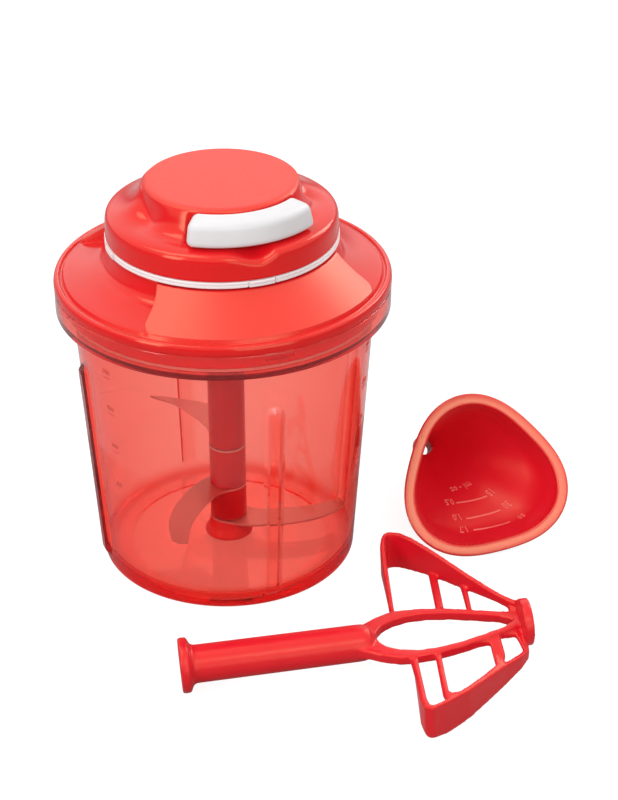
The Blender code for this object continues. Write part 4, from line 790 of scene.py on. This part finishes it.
def bore(piece, radius, start, depth):
    """Bore a round hole along the cord's line, from a distance in front of the axis."""
    section = [(radius, 0.0), (radius, depth)]
    tool = turned("bore_shape", section, 32, piece.data.materials[0], poles=True)
    tool.matrix_world = Matrix.Translation((0.0, -start, CORD_LEVEL)) @ Matrix.Rotation(QUARTER, 4, "X")
    bpy.context.view_layer.update()
    modifier = piece.modifiers.new("cut", "BOOLEAN")
    modifier.operation = "DIFFERENCE"
    modifier.solver = "EXACT"
    modifier.object = tool
    apply_modifiers(piece)
    bpy.data.objects.remove(tool, do_unlink=True)


def evaluated_mesh(piece):
    """Return what a piece looks like with its modifiers, or a text's letters, as a new mesh."""
    bpy.context.view_layer.update()
    graph = bpy.context.evaluated_depsgraph_get()
    return bpy.data.meshes.new_from_object(piece.evaluated_get(graph))


def apply_modifiers(piece):
    """Keep what the modifiers make as the piece's own mesh."""
    old = piece.data
    piece.data = evaluated_mesh(piece)
    piece.modifiers.clear()
    bpy.data.meshes.remove(old)


# Handle and cord
HANDLE_HALF_ANGLE = 38.9 * DEG
HANDLE_TURN = 1.0 * DEG
HANDLE_INNER = PAD_RADIUS + 1.4 * MM
HANDLE_OUTER = HANDLE_INNER + 11.2 * MM
HANDLE_END = 3.2 * MM
KNOT_POCKET = (3.4 * MM, 9.1 * MM)
WINDING_RADIUS = 19.1 * MM
EYELET_REACH = 32.0 * MM
CORD_RADIUS = 0.8 * MM
CORD_SIDES = 16


def make_handle():
    """Build the curved white pull handle with its rounded ends and the pocket for the knot."""
    low, top = SEAT + 0.7 * MM, CAP_TOP - 0.7 * MM
    section = rounded([
        (HANDLE_INNER, low, 2.2 * MM),
        (HANDLE_OUTER + 2.6 * MM, low, 3.2 * MM),
        (HANDLE_OUTER, top - 1.5 * MM, 3.4 * MM),
        (HANDLE_INNER, top, 2.4 * MM),
    ], 8)
    centre = sum(section, Vector((0.0, 0.0))) / len(section)
    end_angle = HANDLE_END / (HANDLE_INNER + 6.0 * MM)
    flat = HANDLE_HALF_ANGLE - end_angle
    ends = []
    for turn in spread(0.0, QUARTER, 12):
        ends.append((HANDLE_TURN + flat + end_angle * math.sin(turn), HANDLE_END * (1 - math.cos(turn))))
    run = [(2 * HANDLE_TURN - azimuth, inset) for azimuth, inset in ends[::-1]]
    run += [(azimuth, 0.0) for azimuth in spread(HANDLE_TURN - flat, HANDLE_TURN + flat, 44)[1:-1]] + ends
    columns = []
    for azimuth, inset in run:
        column = []
        for point in section:
            away = point - centre
            moved = point - away.normalized() * min(inset, 0.92 * away.length)
            column.append(spot(moved.x, azimuth, moved.y))
        columns.append(column)
    handle = skin("handle_grip", columns, WHITE, wrap=False, sharp=60.0)
    bore(handle, KNOT_POCKET[0], HANDLE_INNER - MM, KNOT_POCKET[1])
    show(handle, "handle", "white_plastic", "pull_handle")


def make_cord():
    """Build the cord's way from its winding through the eyelet to the handle."""
    start = spot(WINDING_RADIUS, -math.acos(WINDING_RADIUS / EYELET_REACH), CORD_LEVEL)
    inner = Vector((0.0, -EYELET_REACH, CORD_LEVEL))
    points = [start, mix(start, inner, 0.45), mix(start, inner, 0.86), inner + Vector((0.0, -MM, 0.0))]
    end = Vector((0.0, -(HANDLE_INNER + 1.9 * MM), CORD_LEVEL))
    points += [mix(points[-1], end, share) for share in spread(0.0, 1.0, 12)[1:]]
    line = smooth_path(points, 4)
    turns = [FULL_TURN * step / CORD_SIDES for step in range(CORD_SIDES)]
    columns = []
    for index, point in enumerate(line):
        along = (line[min(index + 1, len(line) - 1)] - line[max(index - 1, 0)]).normalized()
        side = along.cross(Vector((0.0, 0.0, 1.0))).normalized()
        up = side.cross(along)
        columns.append([point + CORD_RADIUS * (side * math.cos(t) + up * math.sin(t)) for t in turns])
    cord = skin("pull_cord", columns, CORD, wrap=False)
    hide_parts("cord_lead")
    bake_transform(cord)


# Blade unit
CORE_RADIUS = 5.8 * MM
HUB_RADIUS = COLUMN_RADIUS + 0.15 * MM
GROUND_WIDTH = 1.6 * MM
EDGE_FLAT = 0.25 * MM


def blade_outline(pointed, ground):
    """Return a blade's outline round the column, with its edge drawn in by the ground width."""
    back_shares = ((0.147, 0.072), (0.118, 0.19), (0.08, 0.296), (-0.01, 0.44))
    edge_shares = ((-0.303, 0.447), (-0.235, 0.345), (-0.176, 0.24), (-0.15, 0.15), (-0.141, 0.064))
    if pointed:
        back_shares += ((-0.08, 0.555), (-0.148, 0.625), (-0.23, 0.672), (-0.312, 0.702), (-0.442, 0.75),
                        (-0.572, 0.788), (-0.66, 0.80))
        edge_shares = ((-0.60, 0.752), (-0.527, 0.70), (-0.44, 0.625), (-0.37, 0.54)) + edge_shares
        tip_shares = ()
    else:
        back_shares += ((-0.112, 0.575), (-0.215, 0.675), (-0.327, 0.751), (-0.43, 0.80), (-0.52, 0.83))
        edge_shares = ((-0.53, 0.675), (-0.44, 0.607), (-0.37, 0.53)) + edge_shares
        tip_shares = ((-0.58, 0.81), (-0.625, 0.745))
    steps = 5
    back, edge, tip = (
        [Vector((x * BLADE_REACH, y * BLADE_REACH, 0.0)) for x, y in shares]
        for shares in (back_shares, edge_shares, tip_shares)
    )
    outline = smooth_path(back, steps) + tip
    edge = smooth_path(edge, steps)
    for index, point in enumerate(edge):
        along = (edge[min(index + 1, len(edge) - 1)] - edge[max(index - 1, 0)]).normalized()
        taper = min(1.0, (len(edge) - 1 - index) / (2 * steps), (index + 1) / (3 * steps))
        outline.append(point + Vector((-along.y, along.x, 0.0)) * ground * taper)
    first = math.atan2(edge[-1].y, edge[-1].x)
    last = math.atan2(outline[0].y, outline[0].x) + FULL_TURN
    for angle in spread(first, last, 40)[1:-1]:
        outline.append(Vector((HUB_RADIUS * math.cos(angle), HUB_RADIUS * math.sin(angle), 0.0)))
    return outline


def make_blades():
    """Build the three curved blades, ground on their undersides."""
    half = BLADE_THICKNESS / 2
    circle = [spot(CORE_RADIUS, FULL_TURN * step / 48, 0.0) for step in range(48)]
    for index, name in enumerate(("blade_top", "blade_middle", "blade_bottom")):
        place = Matrix.Translation((0.0, 0.0, BLADES[name]))
        place = place @ Matrix.Rotation(BLADE_TURN + index * FULL_TURN / 3, 4, "Z")
        pointed = name == "blade_top"
        full, ground = blade_outline(pointed, 0.0), blade_outline(pointed, GROUND_WIDTH)
        mesh = bmesh.new()
        levels = ((ground, -half), (full, half - EDGE_FLAT), (full, half))
        outer = [loop_at(mesh, line, height, place) for line, height in levels]
        inner = [loop_at(mesh, circle, height, place) for height in (-half, half)]
        for first, second in (outer[:2], outer[1:], inner):
            for step, vert in enumerate(first):
                after = (step + 1) % len(first)
                mesh.faces.new((vert, first[after], second[after], second[step]))
        for line, verts in ((ground, outer[0] + inner[0]), (full, outer[2] + inner[1])):
            for corners in tessellate_polygon([line, circle]):
                mesh.faces.new([verts[corner] for corner in corners])
        show(finish(mesh, f"{name}_steel", STEEL, 20.0), "blade_unit", "steel", name)


def loop_at(mesh, line, height, place):
    """Add a line's points to a mesh at a height, moved into place."""
    return [mesh.verts.new(place @ (point + Vector((0.0, 0.0, height)))) for point in line]


def sleeve(low, high):
    """Return the corners of a sleeve round the column's core."""
    outer = [(COLUMN_RADIUS, level, 0.5 * MM) for level in (low, high)]
    return [(CORE_RADIUS, low, 0.0), *outer, (CORE_RADIUS, high, 0.0)]


def make_column():
    """Build the column's foot, spacers and upper length."""
    half = BLADE_THICKNESS / 2 + GAP
    levels = list(BLADES.values())
    foot_top = levels[0] - half
    foot = rounded([
        (9.5 * MM, 4.5 * MM, 0.2 * MM),
        (12.6 * MM, 4.5 * MM, 0.8 * MM),
        (12.4 * MM, 6.4 * MM, 0.8 * MM),
        (10.4 * MM, 9.4 * MM, 1.6 * MM),
        (COLUMN_RADIUS, foot_top, 0.4 * MM),
        (CORE_RADIUS - GAP, foot_top, 0.0),
        (CORE_RADIUS - GAP, 76.9 * MM, 0.5 * MM),
        (PIN_BORE, 76.9 * MM, 0.0),
        (PIN_BORE, BOSS_TOP + GAP, 0.0),
        (9.5 * MM, BOSS_TOP + GAP, 0.0),
    ])
    show(turned("foot_turned", foot, 72, RED_SOFT), "blade_unit", "red_plastic", "column_foot")
    # The spacers and the upper length take the darker red, which is painted shade for the inside of the
    # bowl.
    for name, low, high in (("spacer_lower", levels[0], levels[1]), ("spacer_upper", levels[1], levels[2])):
        section = rounded(sleeve(low + half, high - half))
        show(turned(f"{name}_turned", section, 72, COLUMN_RED_PAINTED_SHADE), "blade_unit", "red_plastic", name)
    socket_floor = COLUMN_TOP - 10.2 * MM
    socket, key = 7.0 * MM, 2.0 * MM
    section = rounded(sleeve(levels[2] + half, COLUMN_TOP - 2.0 * MM)[:3] + [
        (COLUMN_RADIUS + 1.1 * MM, COLUMN_TOP - MM, 0.3 * MM),
        (COLUMN_RADIUS + 1.1 * MM, COLUMN_TOP, 0.4 * MM),
        (socket, COLUMN_TOP, 0.3 * MM),
        (socket, socket_floor, 0.4 * MM),
        (CORE_RADIUS, socket_floor - MM, 0.0),
    ])
    key_half_angle = 48.0 * DEG
    columns = []
    for index in range(96):
        azimuth = FULL_TURN * index / 96
        keyed = abs(math.remainder(azimuth, math.pi)) < key_half_angle
        column = []
        for radius, height in section:
            inside = radius < socket + 0.2 * MM and socket_floor - 0.2 * MM < height < COLUMN_TOP - 0.6 * MM
            column.append(spot(radius - key if keyed and inside else radius, azimuth, height))
        columns.append(column)
    show(skin("column_turned", columns, COLUMN_RED_PAINTED_SHADE, sharp=35.0), "blade_unit", "red_plastic", "column_upper")


# Whisk
WHISK_MATRIX = placed((39.3, -140.5, 18.95), (-13.2, "Z"), (-3.0, "Y"))
WHISK_CORNERS = ((0.0543, -0.0819, 0.0402), (0.0299, -0.1956, 0.0008))
WHISK_ROUND = 6.0 * MM
WHISK_VOXEL = 0.55 * MM
SHAFT_NECK = -12.8 * MM
SHAFT_END = SHAFT_NECK - 94.5 * MM
STRUT_FOOT_PLACE = (-1.2, 20.3, 0.15)
STRUT_FOOT_SIZE = (2.4, 6.8, 3.7)


def make_whisk():
    """Build the whisk paddle with the soft edges of a moulding."""
    paddle = bmesh.new()
    paddle.from_mesh(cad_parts["whisk_paddle"].data)
    bmesh.ops.remove_doubles(paddle, verts=paddle.verts[:], dist=0.01 * MM)
    shaft = turned("shaft_shape", rounded([
        (6.4 * MM, SHAFT_END + 46.0 * MM, 0.0),
        (6.4 * MM, SHAFT_END, 0.6 * MM),
        (13.3 * MM, SHAFT_END, 0.9 * MM),
        (13.3 * MM, SHAFT_END + 4.4 * MM, 1.0 * MM),
        (9.2 * MM, SHAFT_END + 5.2 * MM, 1.6 * MM),
        (8.95 * MM, SHAFT_NECK - 7.0 * MM, 2.0 * MM),
        (7.9 * MM, SHAFT_NECK - 3.0 * MM, 1.0 * MM),
        (2.6 * MM, SHAFT_NECK, 0.0),
    ]), 96, RED_SOFT, poles=True)
    shaft.data.transform(Matrix.Rotation(QUARTER, 4, "Y"))
    shaft.data.transform(WHISK_MATRIX)
    foot = bmesh.new()
    foot_matrix = WHISK_MATRIX @ placed(STRUT_FOOT_PLACE) @ Matrix.Diagonal((*STRUT_FOOT_SIZE, 1.0))
    bmesh.ops.create_cube(foot, size=MM, matrix=foot_matrix)
    parts = [finish(paddle, "paddle_shape", RED_SOFT), shaft, finish(foot, "strut_foot_shape", RED_SOFT)]
    mesh = bmesh.new()
    for part in parts:
        mesh.from_mesh(part.data)
        bpy.data.objects.remove(part, do_unlink=True)
    whisk = finish(mesh, "whisk_moulding", RED_SOFT)
    remesh = whisk.modifiers.new("remesh", "REMESH")
    remesh.mode = "VOXEL"
    remesh.voxel_size = WHISK_VOXEL
    remesh.use_smooth_shade = True
    soften = whisk.modifiers.new("soften", "SMOOTH")
    soften.factor = 0.5
    soften.iterations = 16
    apply_modifiers(whisk)
    mesh = bmesh.new()
    mesh.from_mesh(whisk.data)
    every_way = {"use_axis_x": True, "use_axis_y": True, "use_axis_z": True}
    for corner in WHISK_CORNERS:
        for reach in spread(1.5 * WHISK_ROUND, 0.5 * WHISK_ROUND, 6):
            near = [vert for vert in mesh.verts if (vert.co - Vector(corner)).length < reach]
            for _ in range(9):
                bmesh.ops.smooth_vert(mesh, verts=near, factor=0.5, **every_way)
    mesh.to_mesh(whisk.data)
    mesh.free()
    show(whisk, "bowl", "red_plastic", "whisk_paddle")


# Funnel
FUNNEL_MATRIX = placed((127.6, -43.5, 32.3), (-18.4, "Z"), (50.0, "X"))
FUNNEL_RADIUS = 43.0 * MM
FUNNEL_LOBE = 3.3 * MM
FUNNEL_TURN = 17.0 * DEG
SPOUT_PLACE = (-25.5 * MM, 25.0 * MM)
# Each row holds inset, depth, share of the way to the spout, and the spout's radius, in millimetres.
FUNNEL_OUTSIDE = ((4.0, 2.3, 0.0, 6.4), (4.0, 14.0, 0.16, 6.4), (4.0, 25.5, 0.46, 6.4),
                  (4.0, 38.0, 0.78, 6.4), (4.0, 49.0, 1.0, 6.4))
FUNNEL_SPOUT = ((4.0, 63.4, 1.0, 5.1), (4.0, 64.0, 1.0, 4.8), (4.0, 64.0, 1.0, 3.5), (4.0, 63.6, 1.0, 3.2))
FUNNEL_INSIDE = ((5.8, 48.1, 1.0, 4.6), (5.8, 37.0, 0.78, 4.6), (5.8, 24.0, 0.46, 4.6),
                 (6.0, 12.0, 0.14, 4.6), (6.1, 1.4, 0.0, 4.6))
FUNNEL_RIM = ((5.9, 0.5), (5.5, 0.1), (4.6, 0.0), (1.0, 0.0), (0.4, 0.1), (0.05, 0.5), (0.0, 1.0),
              (0.25, 1.6), (0.9, 2.0), (3.4, 2.1))
FUNNEL_WALL_STEPS = 4


def funnel_point(angle, inset, depth, share, radius):
    """Return a place on the funnel cup, from millimetres in its own frame."""
    outline = FUNNEL_RADIUS + FUNNEL_LOBE * math.cos(3 * (angle + FUNNEL_TURN)) - inset * MM
    size = mix(outline, radius * MM, share)
    across = size * math.cos(angle) + SPOUT_PLACE[0] * share
    along = size * math.sin(angle) + SPOUT_PLACE[1] * share
    return FUNNEL_MATRIX @ Vector((across, along, -depth * MM))


def densify(rows):
    """Return rows with straight steps between them."""
    out = []
    for here, there in zip(rows, rows[1:]):
        for share in spread(0.0, 1.0, FUNNEL_WALL_STEPS + 1)[:-1]:
            out.append([mix(first, second, share) for first, second in zip(here, there)])
    return out + [rows[-1]]


def make_funnel():
    """Build the funnel cup."""
    rows = [(inset, depth, 0.0, 0.0) for inset, depth in FUNNEL_RIM]
    rows += densify(FUNNEL_OUTSIDE) + list(FUNNEL_SPOUT) + densify(FUNNEL_INSIDE)
    angles = [FULL_TURN * index / 144 for index in range(144)]
    columns = [[funnel_point(angle, *row) for row in rows] for angle in angles]
    funnel = skin("funnel_body", columns, RED_RIM, sharp=45.0)
    add_mask(funnel, [float(row[1] < 1.5) for _ in angles for row in rows])
    show(funnel, "bowl", "red_plastic", "funnel_cup")


# Marks
MARK_LOW = 0.01 * MM
MARK_HIGH = 0.3 * MM
LINE_WIDTH = 0.35 * MM
BAR_ROWS = 12
TICK_LENGTH = 5.0 * MM
TICK_DROP = 3.4 * MM
BOWL_TEXT = 3.8 * MM
FUNNEL_TEXT = 4.1 * MM
FUNNEL_TEXT_SQUASH = 0.8
LEVELS = (("500", 128.0), ("400", 107.0), ("300", 85.0), ("200", 62.0))
BOWL_MARKS = ((-69.0, LEVELS), (52.0, (("ml", 134.0), *LEVELS)))
FUNNEL_LINES = ((-91.0, 23.5, -48.0, 22.5), (-91.0, 17.0, -51.0, 16.5), (-91.0, 12.4, -54.0, 11.3))
FUNNEL_TEXTS = (("ml - oz", -67.0, 29.0), ("0.5", -100.0, 24.3), ("15", -41.0, 23.0), ("1.0", -100.0, 18.2),
                ("30", -42.0, 17.0), ("1.7", -100.0, 13.2), ("50", -43.0, 11.0))


def flat_text(text, size):
    """Return a text's flat mesh, centred."""
    curve = bpy.data.curves.new(text, "FONT")
    curve.body = text
    curve.size = size
    curve.align_x, curve.align_y = "CENTER", "CENTER"
    curve.resolution_u = 2
    item = add(text, curve)
    data = evaluated_mesh(item)
    bpy.data.objects.remove(item, do_unlink=True)
    return data


def raise_flat(mesh, data, place):
    """Add a flat mesh to another as a thin raised solid, moved into place point by point."""
    start = len(mesh.verts)
    mesh.from_mesh(data)
    mesh.verts.ensure_lookup_table()
    bmesh.ops.remove_doubles(mesh, verts=mesh.verts[start:], dist=0.01 * MM)
    mesh.verts.ensure_lookup_table()
    fresh = mesh.verts[start:]
    faces = list({face for vert in fresh for face in vert.link_faces})
    raised = bmesh.ops.extrude_face_region(mesh, geom=faces, use_keep_orig=True)["geom"]
    high = {item for item in raised if isinstance(item, bmesh.types.BMVert)}
    for vert in set(fresh) | high:
        vert.co = place(vert.co.x, vert.co.y, MARK_HIGH if vert in high else MARK_LOW)


def bar(width):
    """Return a flat bar's mesh, cut across so that it can bend."""
    mesh = bmesh.new()
    sides = (-LINE_WIDTH / 2, LINE_WIDTH / 2)
    rows = [[mesh.verts.new((x, y, 0.0)) for y in sides] for x in spread(-width / 2, width / 2, BAR_ROWS)]
    for here, there in zip(rows, rows[1:]):
        mesh.faces.new((here[0], there[0], there[1], here[1]))
    data = bpy.data.meshes.new("bar")
    mesh.to_mesh(data)
    mesh.free()
    return data


def make_bowl_marks():
    """Build the fine scale on the bowl's wall."""
    mesh = bmesh.new()
    for azimuth, marks in BOWL_MARKS:
        for text, level in marks:
            def place(x, y, lift, azimuth=azimuth * DEG, level=level * MM):
                height = level + y
                return spot(bowl_wall(height) + lift, azimuth + x / WALL_TOP_RADIUS, height)
            raise_flat(mesh, flat_text(text, BOWL_TEXT), place)
            if text != "ml":
                raise_flat(mesh, bar(TICK_LENGTH), lambda x, y, lift: place(x, y - TICK_DROP, lift))
    show(finish(mesh, "bowl_marks", MARK, 30.0), "bowl", "tinted_bowl")


def funnel_inside(angle, depth, lift):
    """Return a place on the funnel cup's inner wall, from degrees, millimetres and metres."""
    for there, here in zip(FUNNEL_INSIDE, FUNNEL_INSIDE[1:]):
        if here[1] <= depth <= there[1]:
            share = (depth - here[1]) / (there[1] - here[1])
            inset, _, centre, radius = (mix(first, second, share) for first, second in zip(here, there))
    return funnel_point(angle * DEG, inset + lift / MM, depth, centre, radius - lift / MM)


def make_funnel_marks():
    """Build the raised measuring lines and numbers inside the funnel cup."""
    mesh = bmesh.new()
    for first, first_depth, last, last_depth in FUNNEL_LINES:
        def along(x, y, lift, ends=((first, last), (first_depth, last_depth))):
            angle, depth = (mix(*pair, x + 0.5) for pair in ends)
            return funnel_inside(angle, depth + y / MM, lift)
        raise_flat(mesh, bar(1.0), along)
    for text, middle, depth in FUNNEL_TEXTS:
        degree = (funnel_inside(middle + 1.0, depth, 0.0) - funnel_inside(middle, depth, 0.0)).length

        def label(x, y, lift, middle=middle, depth=depth, degree=degree):
            return funnel_inside(middle - x / degree, depth - FUNNEL_TEXT_SQUASH * y / MM, lift)
        raise_flat(mesh, flat_text(text, FUNNEL_TEXT), label)
    show(finish(mesh, "funnel_marks", MARK, 30.0), "bowl", "red_plastic")


# Studio
BACKGROUND_STRENGTH = 1.2
FLOOR_LEVEL = -0.2 * MM
FLOOR_SIZE = 6.0
FLOOR_WHITE = 0.88
NEAR_FLOOR = (0.152, 0.156)
FLOOR_MIRRORED = 0.25
LAMPS = (
    ("top_box", (-0.42, 0.12, 1.15), (0.0, 0.0, 0.15), 0.60, 0.60, 3.6),
    ("left_box", (-1.0, -0.45, 0.55), (0.0, 0.0, 0.12), 0.35, 0.7, 4.2),
    ("right_box", (0.95, 0.30, 0.75), (0.0, 0.0, 0.12), 0.45, 0.6, 4.4),
    ("front_box", (0.0, -1.0, 1.0), (0.05, 0.0, 0.10), 0.6, 0.4, 3.0),
    ("low_front_box", (0.15, -1.35, 0.35), (0.0, 0.0, 0.12), 0.9, 0.4, 2.6),
    ("back_box", (0.42, 1.26, 0.85), (0.0, 0.0, 0.15), 0.34, 0.24, 0.5),
)
CAMERA_PLACE = (-0.28197, -0.84764, 0.59976)
CAMERA_TURN = ((90.0 - 30.061) * DEG, 0.0, -21.137 * DEG)


def make_world(scene):
    """Set a white background that lights the scene softly from above."""
    scene.world = bpy.data.worlds.new("studio")
    scene.world.use_nodes = True
    sky = Nodes(scene.world.node_tree)
    path, seen = sky.seen()
    up = sky.node("SeparateXYZ", {"Vector": sky.node("TexCoord", {}, "Generated")}, "Z")
    smooth = {"interpolation_type": "SMOOTHSTEP"}
    mirrored = sky.maths("MULTIPLY", path["Is Glossy Ray"], sky.ramp(up, 0.0, 0.3, 0.2, 1.5, **smooth))
    strength = sky.maths("MAXIMUM", sky.maths("MULTIPLY", seen, BACKGROUND_STRENGTH), mirrored)
    strength = sky.maths("MAXIMUM", strength, sky.ramp(up, 0.0, 0.9, 0.32, 0.7, **smooth))
    sky.fill(sky.tree.nodes["Background"], {"Color": (1.0, 1.0, 1.0, 1.0), "Strength": strength})


def make_floor():
    """Lay the floor, which the camera sees as white and mirrors see only beyond the product."""
    mesh = bmesh.new()
    level = Matrix.Translation((0.0, 0.0, FLOOR_LEVEL))
    bmesh.ops.create_grid(mesh, x_segments=1, y_segments=1, size=FLOOR_SIZE, matrix=level)
    paint = Paint("studio_floor", 0.9)
    path, seen = paint.seen()
    reach = paint.node("VectorMath", {0: paint.coordinates}, "Value", operation="LENGTH")
    far = paint.ramp(reach, *NEAR_FLOOR, 0.0, FLOOR_MIRRORED)
    seen = paint.maths("MAXIMUM", seen, paint.maths("MULTIPLY", path["Is Glossy Ray"], far))
    paint.shade({
        "Base Color": (0.25, 0.25, 0.25, 1.0),
        "Emission Color": (1.0, 1.0, 1.0, 1.0),
        "Emission Strength": paint.maths("MULTIPLY", seen, FLOOR_WHITE),
    })
    finish(mesh, "studio_floor", paint.material)


def make_studio():
    """Lay the floor, hang the lamps and place the camera."""
    scene = bpy.context.scene
    make_floor()
    make_world(scene)
    for name, place, aim, wide, high, power in LAMPS:
        light = bpy.data.lights.new(name, "AREA")
        light.shape = "RECTANGLE"
        light.size, light.size_y, light.energy = wide, high, power
        lamp = add(name, light)
        lamp.location = place
        lamp.rotation_euler = (Vector(aim) - Vector(place)).to_track_quat("-Z", "Y").to_euler()
        lamp.visible_diffuse = name != "back_box"

    lens = bpy.data.cameras.new("camera")
    lens.lens = 90.0
    lens.sensor_width = lens.sensor_height = 36.0
    lens.sensor_fit = "VERTICAL"
    scene.camera = add("camera", lens)
    scene.camera.location = CAMERA_PLACE
    scene.camera.rotation_euler = CAMERA_TURN
    scene.view_settings.view_transform = "Standard"
    scene.cycles.max_bounces = 24
    scene.cycles.glossy_bounces = 16
    scene.cycles.transmission_bounces = 24


def dress_nodes():
    """Give the carried-over nodes their materials."""
    looks = (
        (STEEL, "bowl_pivot_pin base_screw_1 base_screw_2 base_screw_3"),
        (STEEL, "power_spring drive_spindle spindle_clip"),
        (WHITE, "spindle_bush spring_cup cord_spool cord_eyelet"),
        (RED_SOFT, "mechanism_base"),
        (CORD, "cord_winding handle_knot"),
        (RUBBER, "lid_gasket"),
    )
    for look, names in looks:
        for name in names.split():
            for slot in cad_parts[name].material_slots:
                slot.material = look


make_studio()
make_bowl()
make_cover()
make_ring()
make_cap()
make_handle()
make_cord()
make_blades()
make_column()
make_whisk()
make_funnel()
make_bowl_marks()
make_funnel_marks()
dress_nodes()
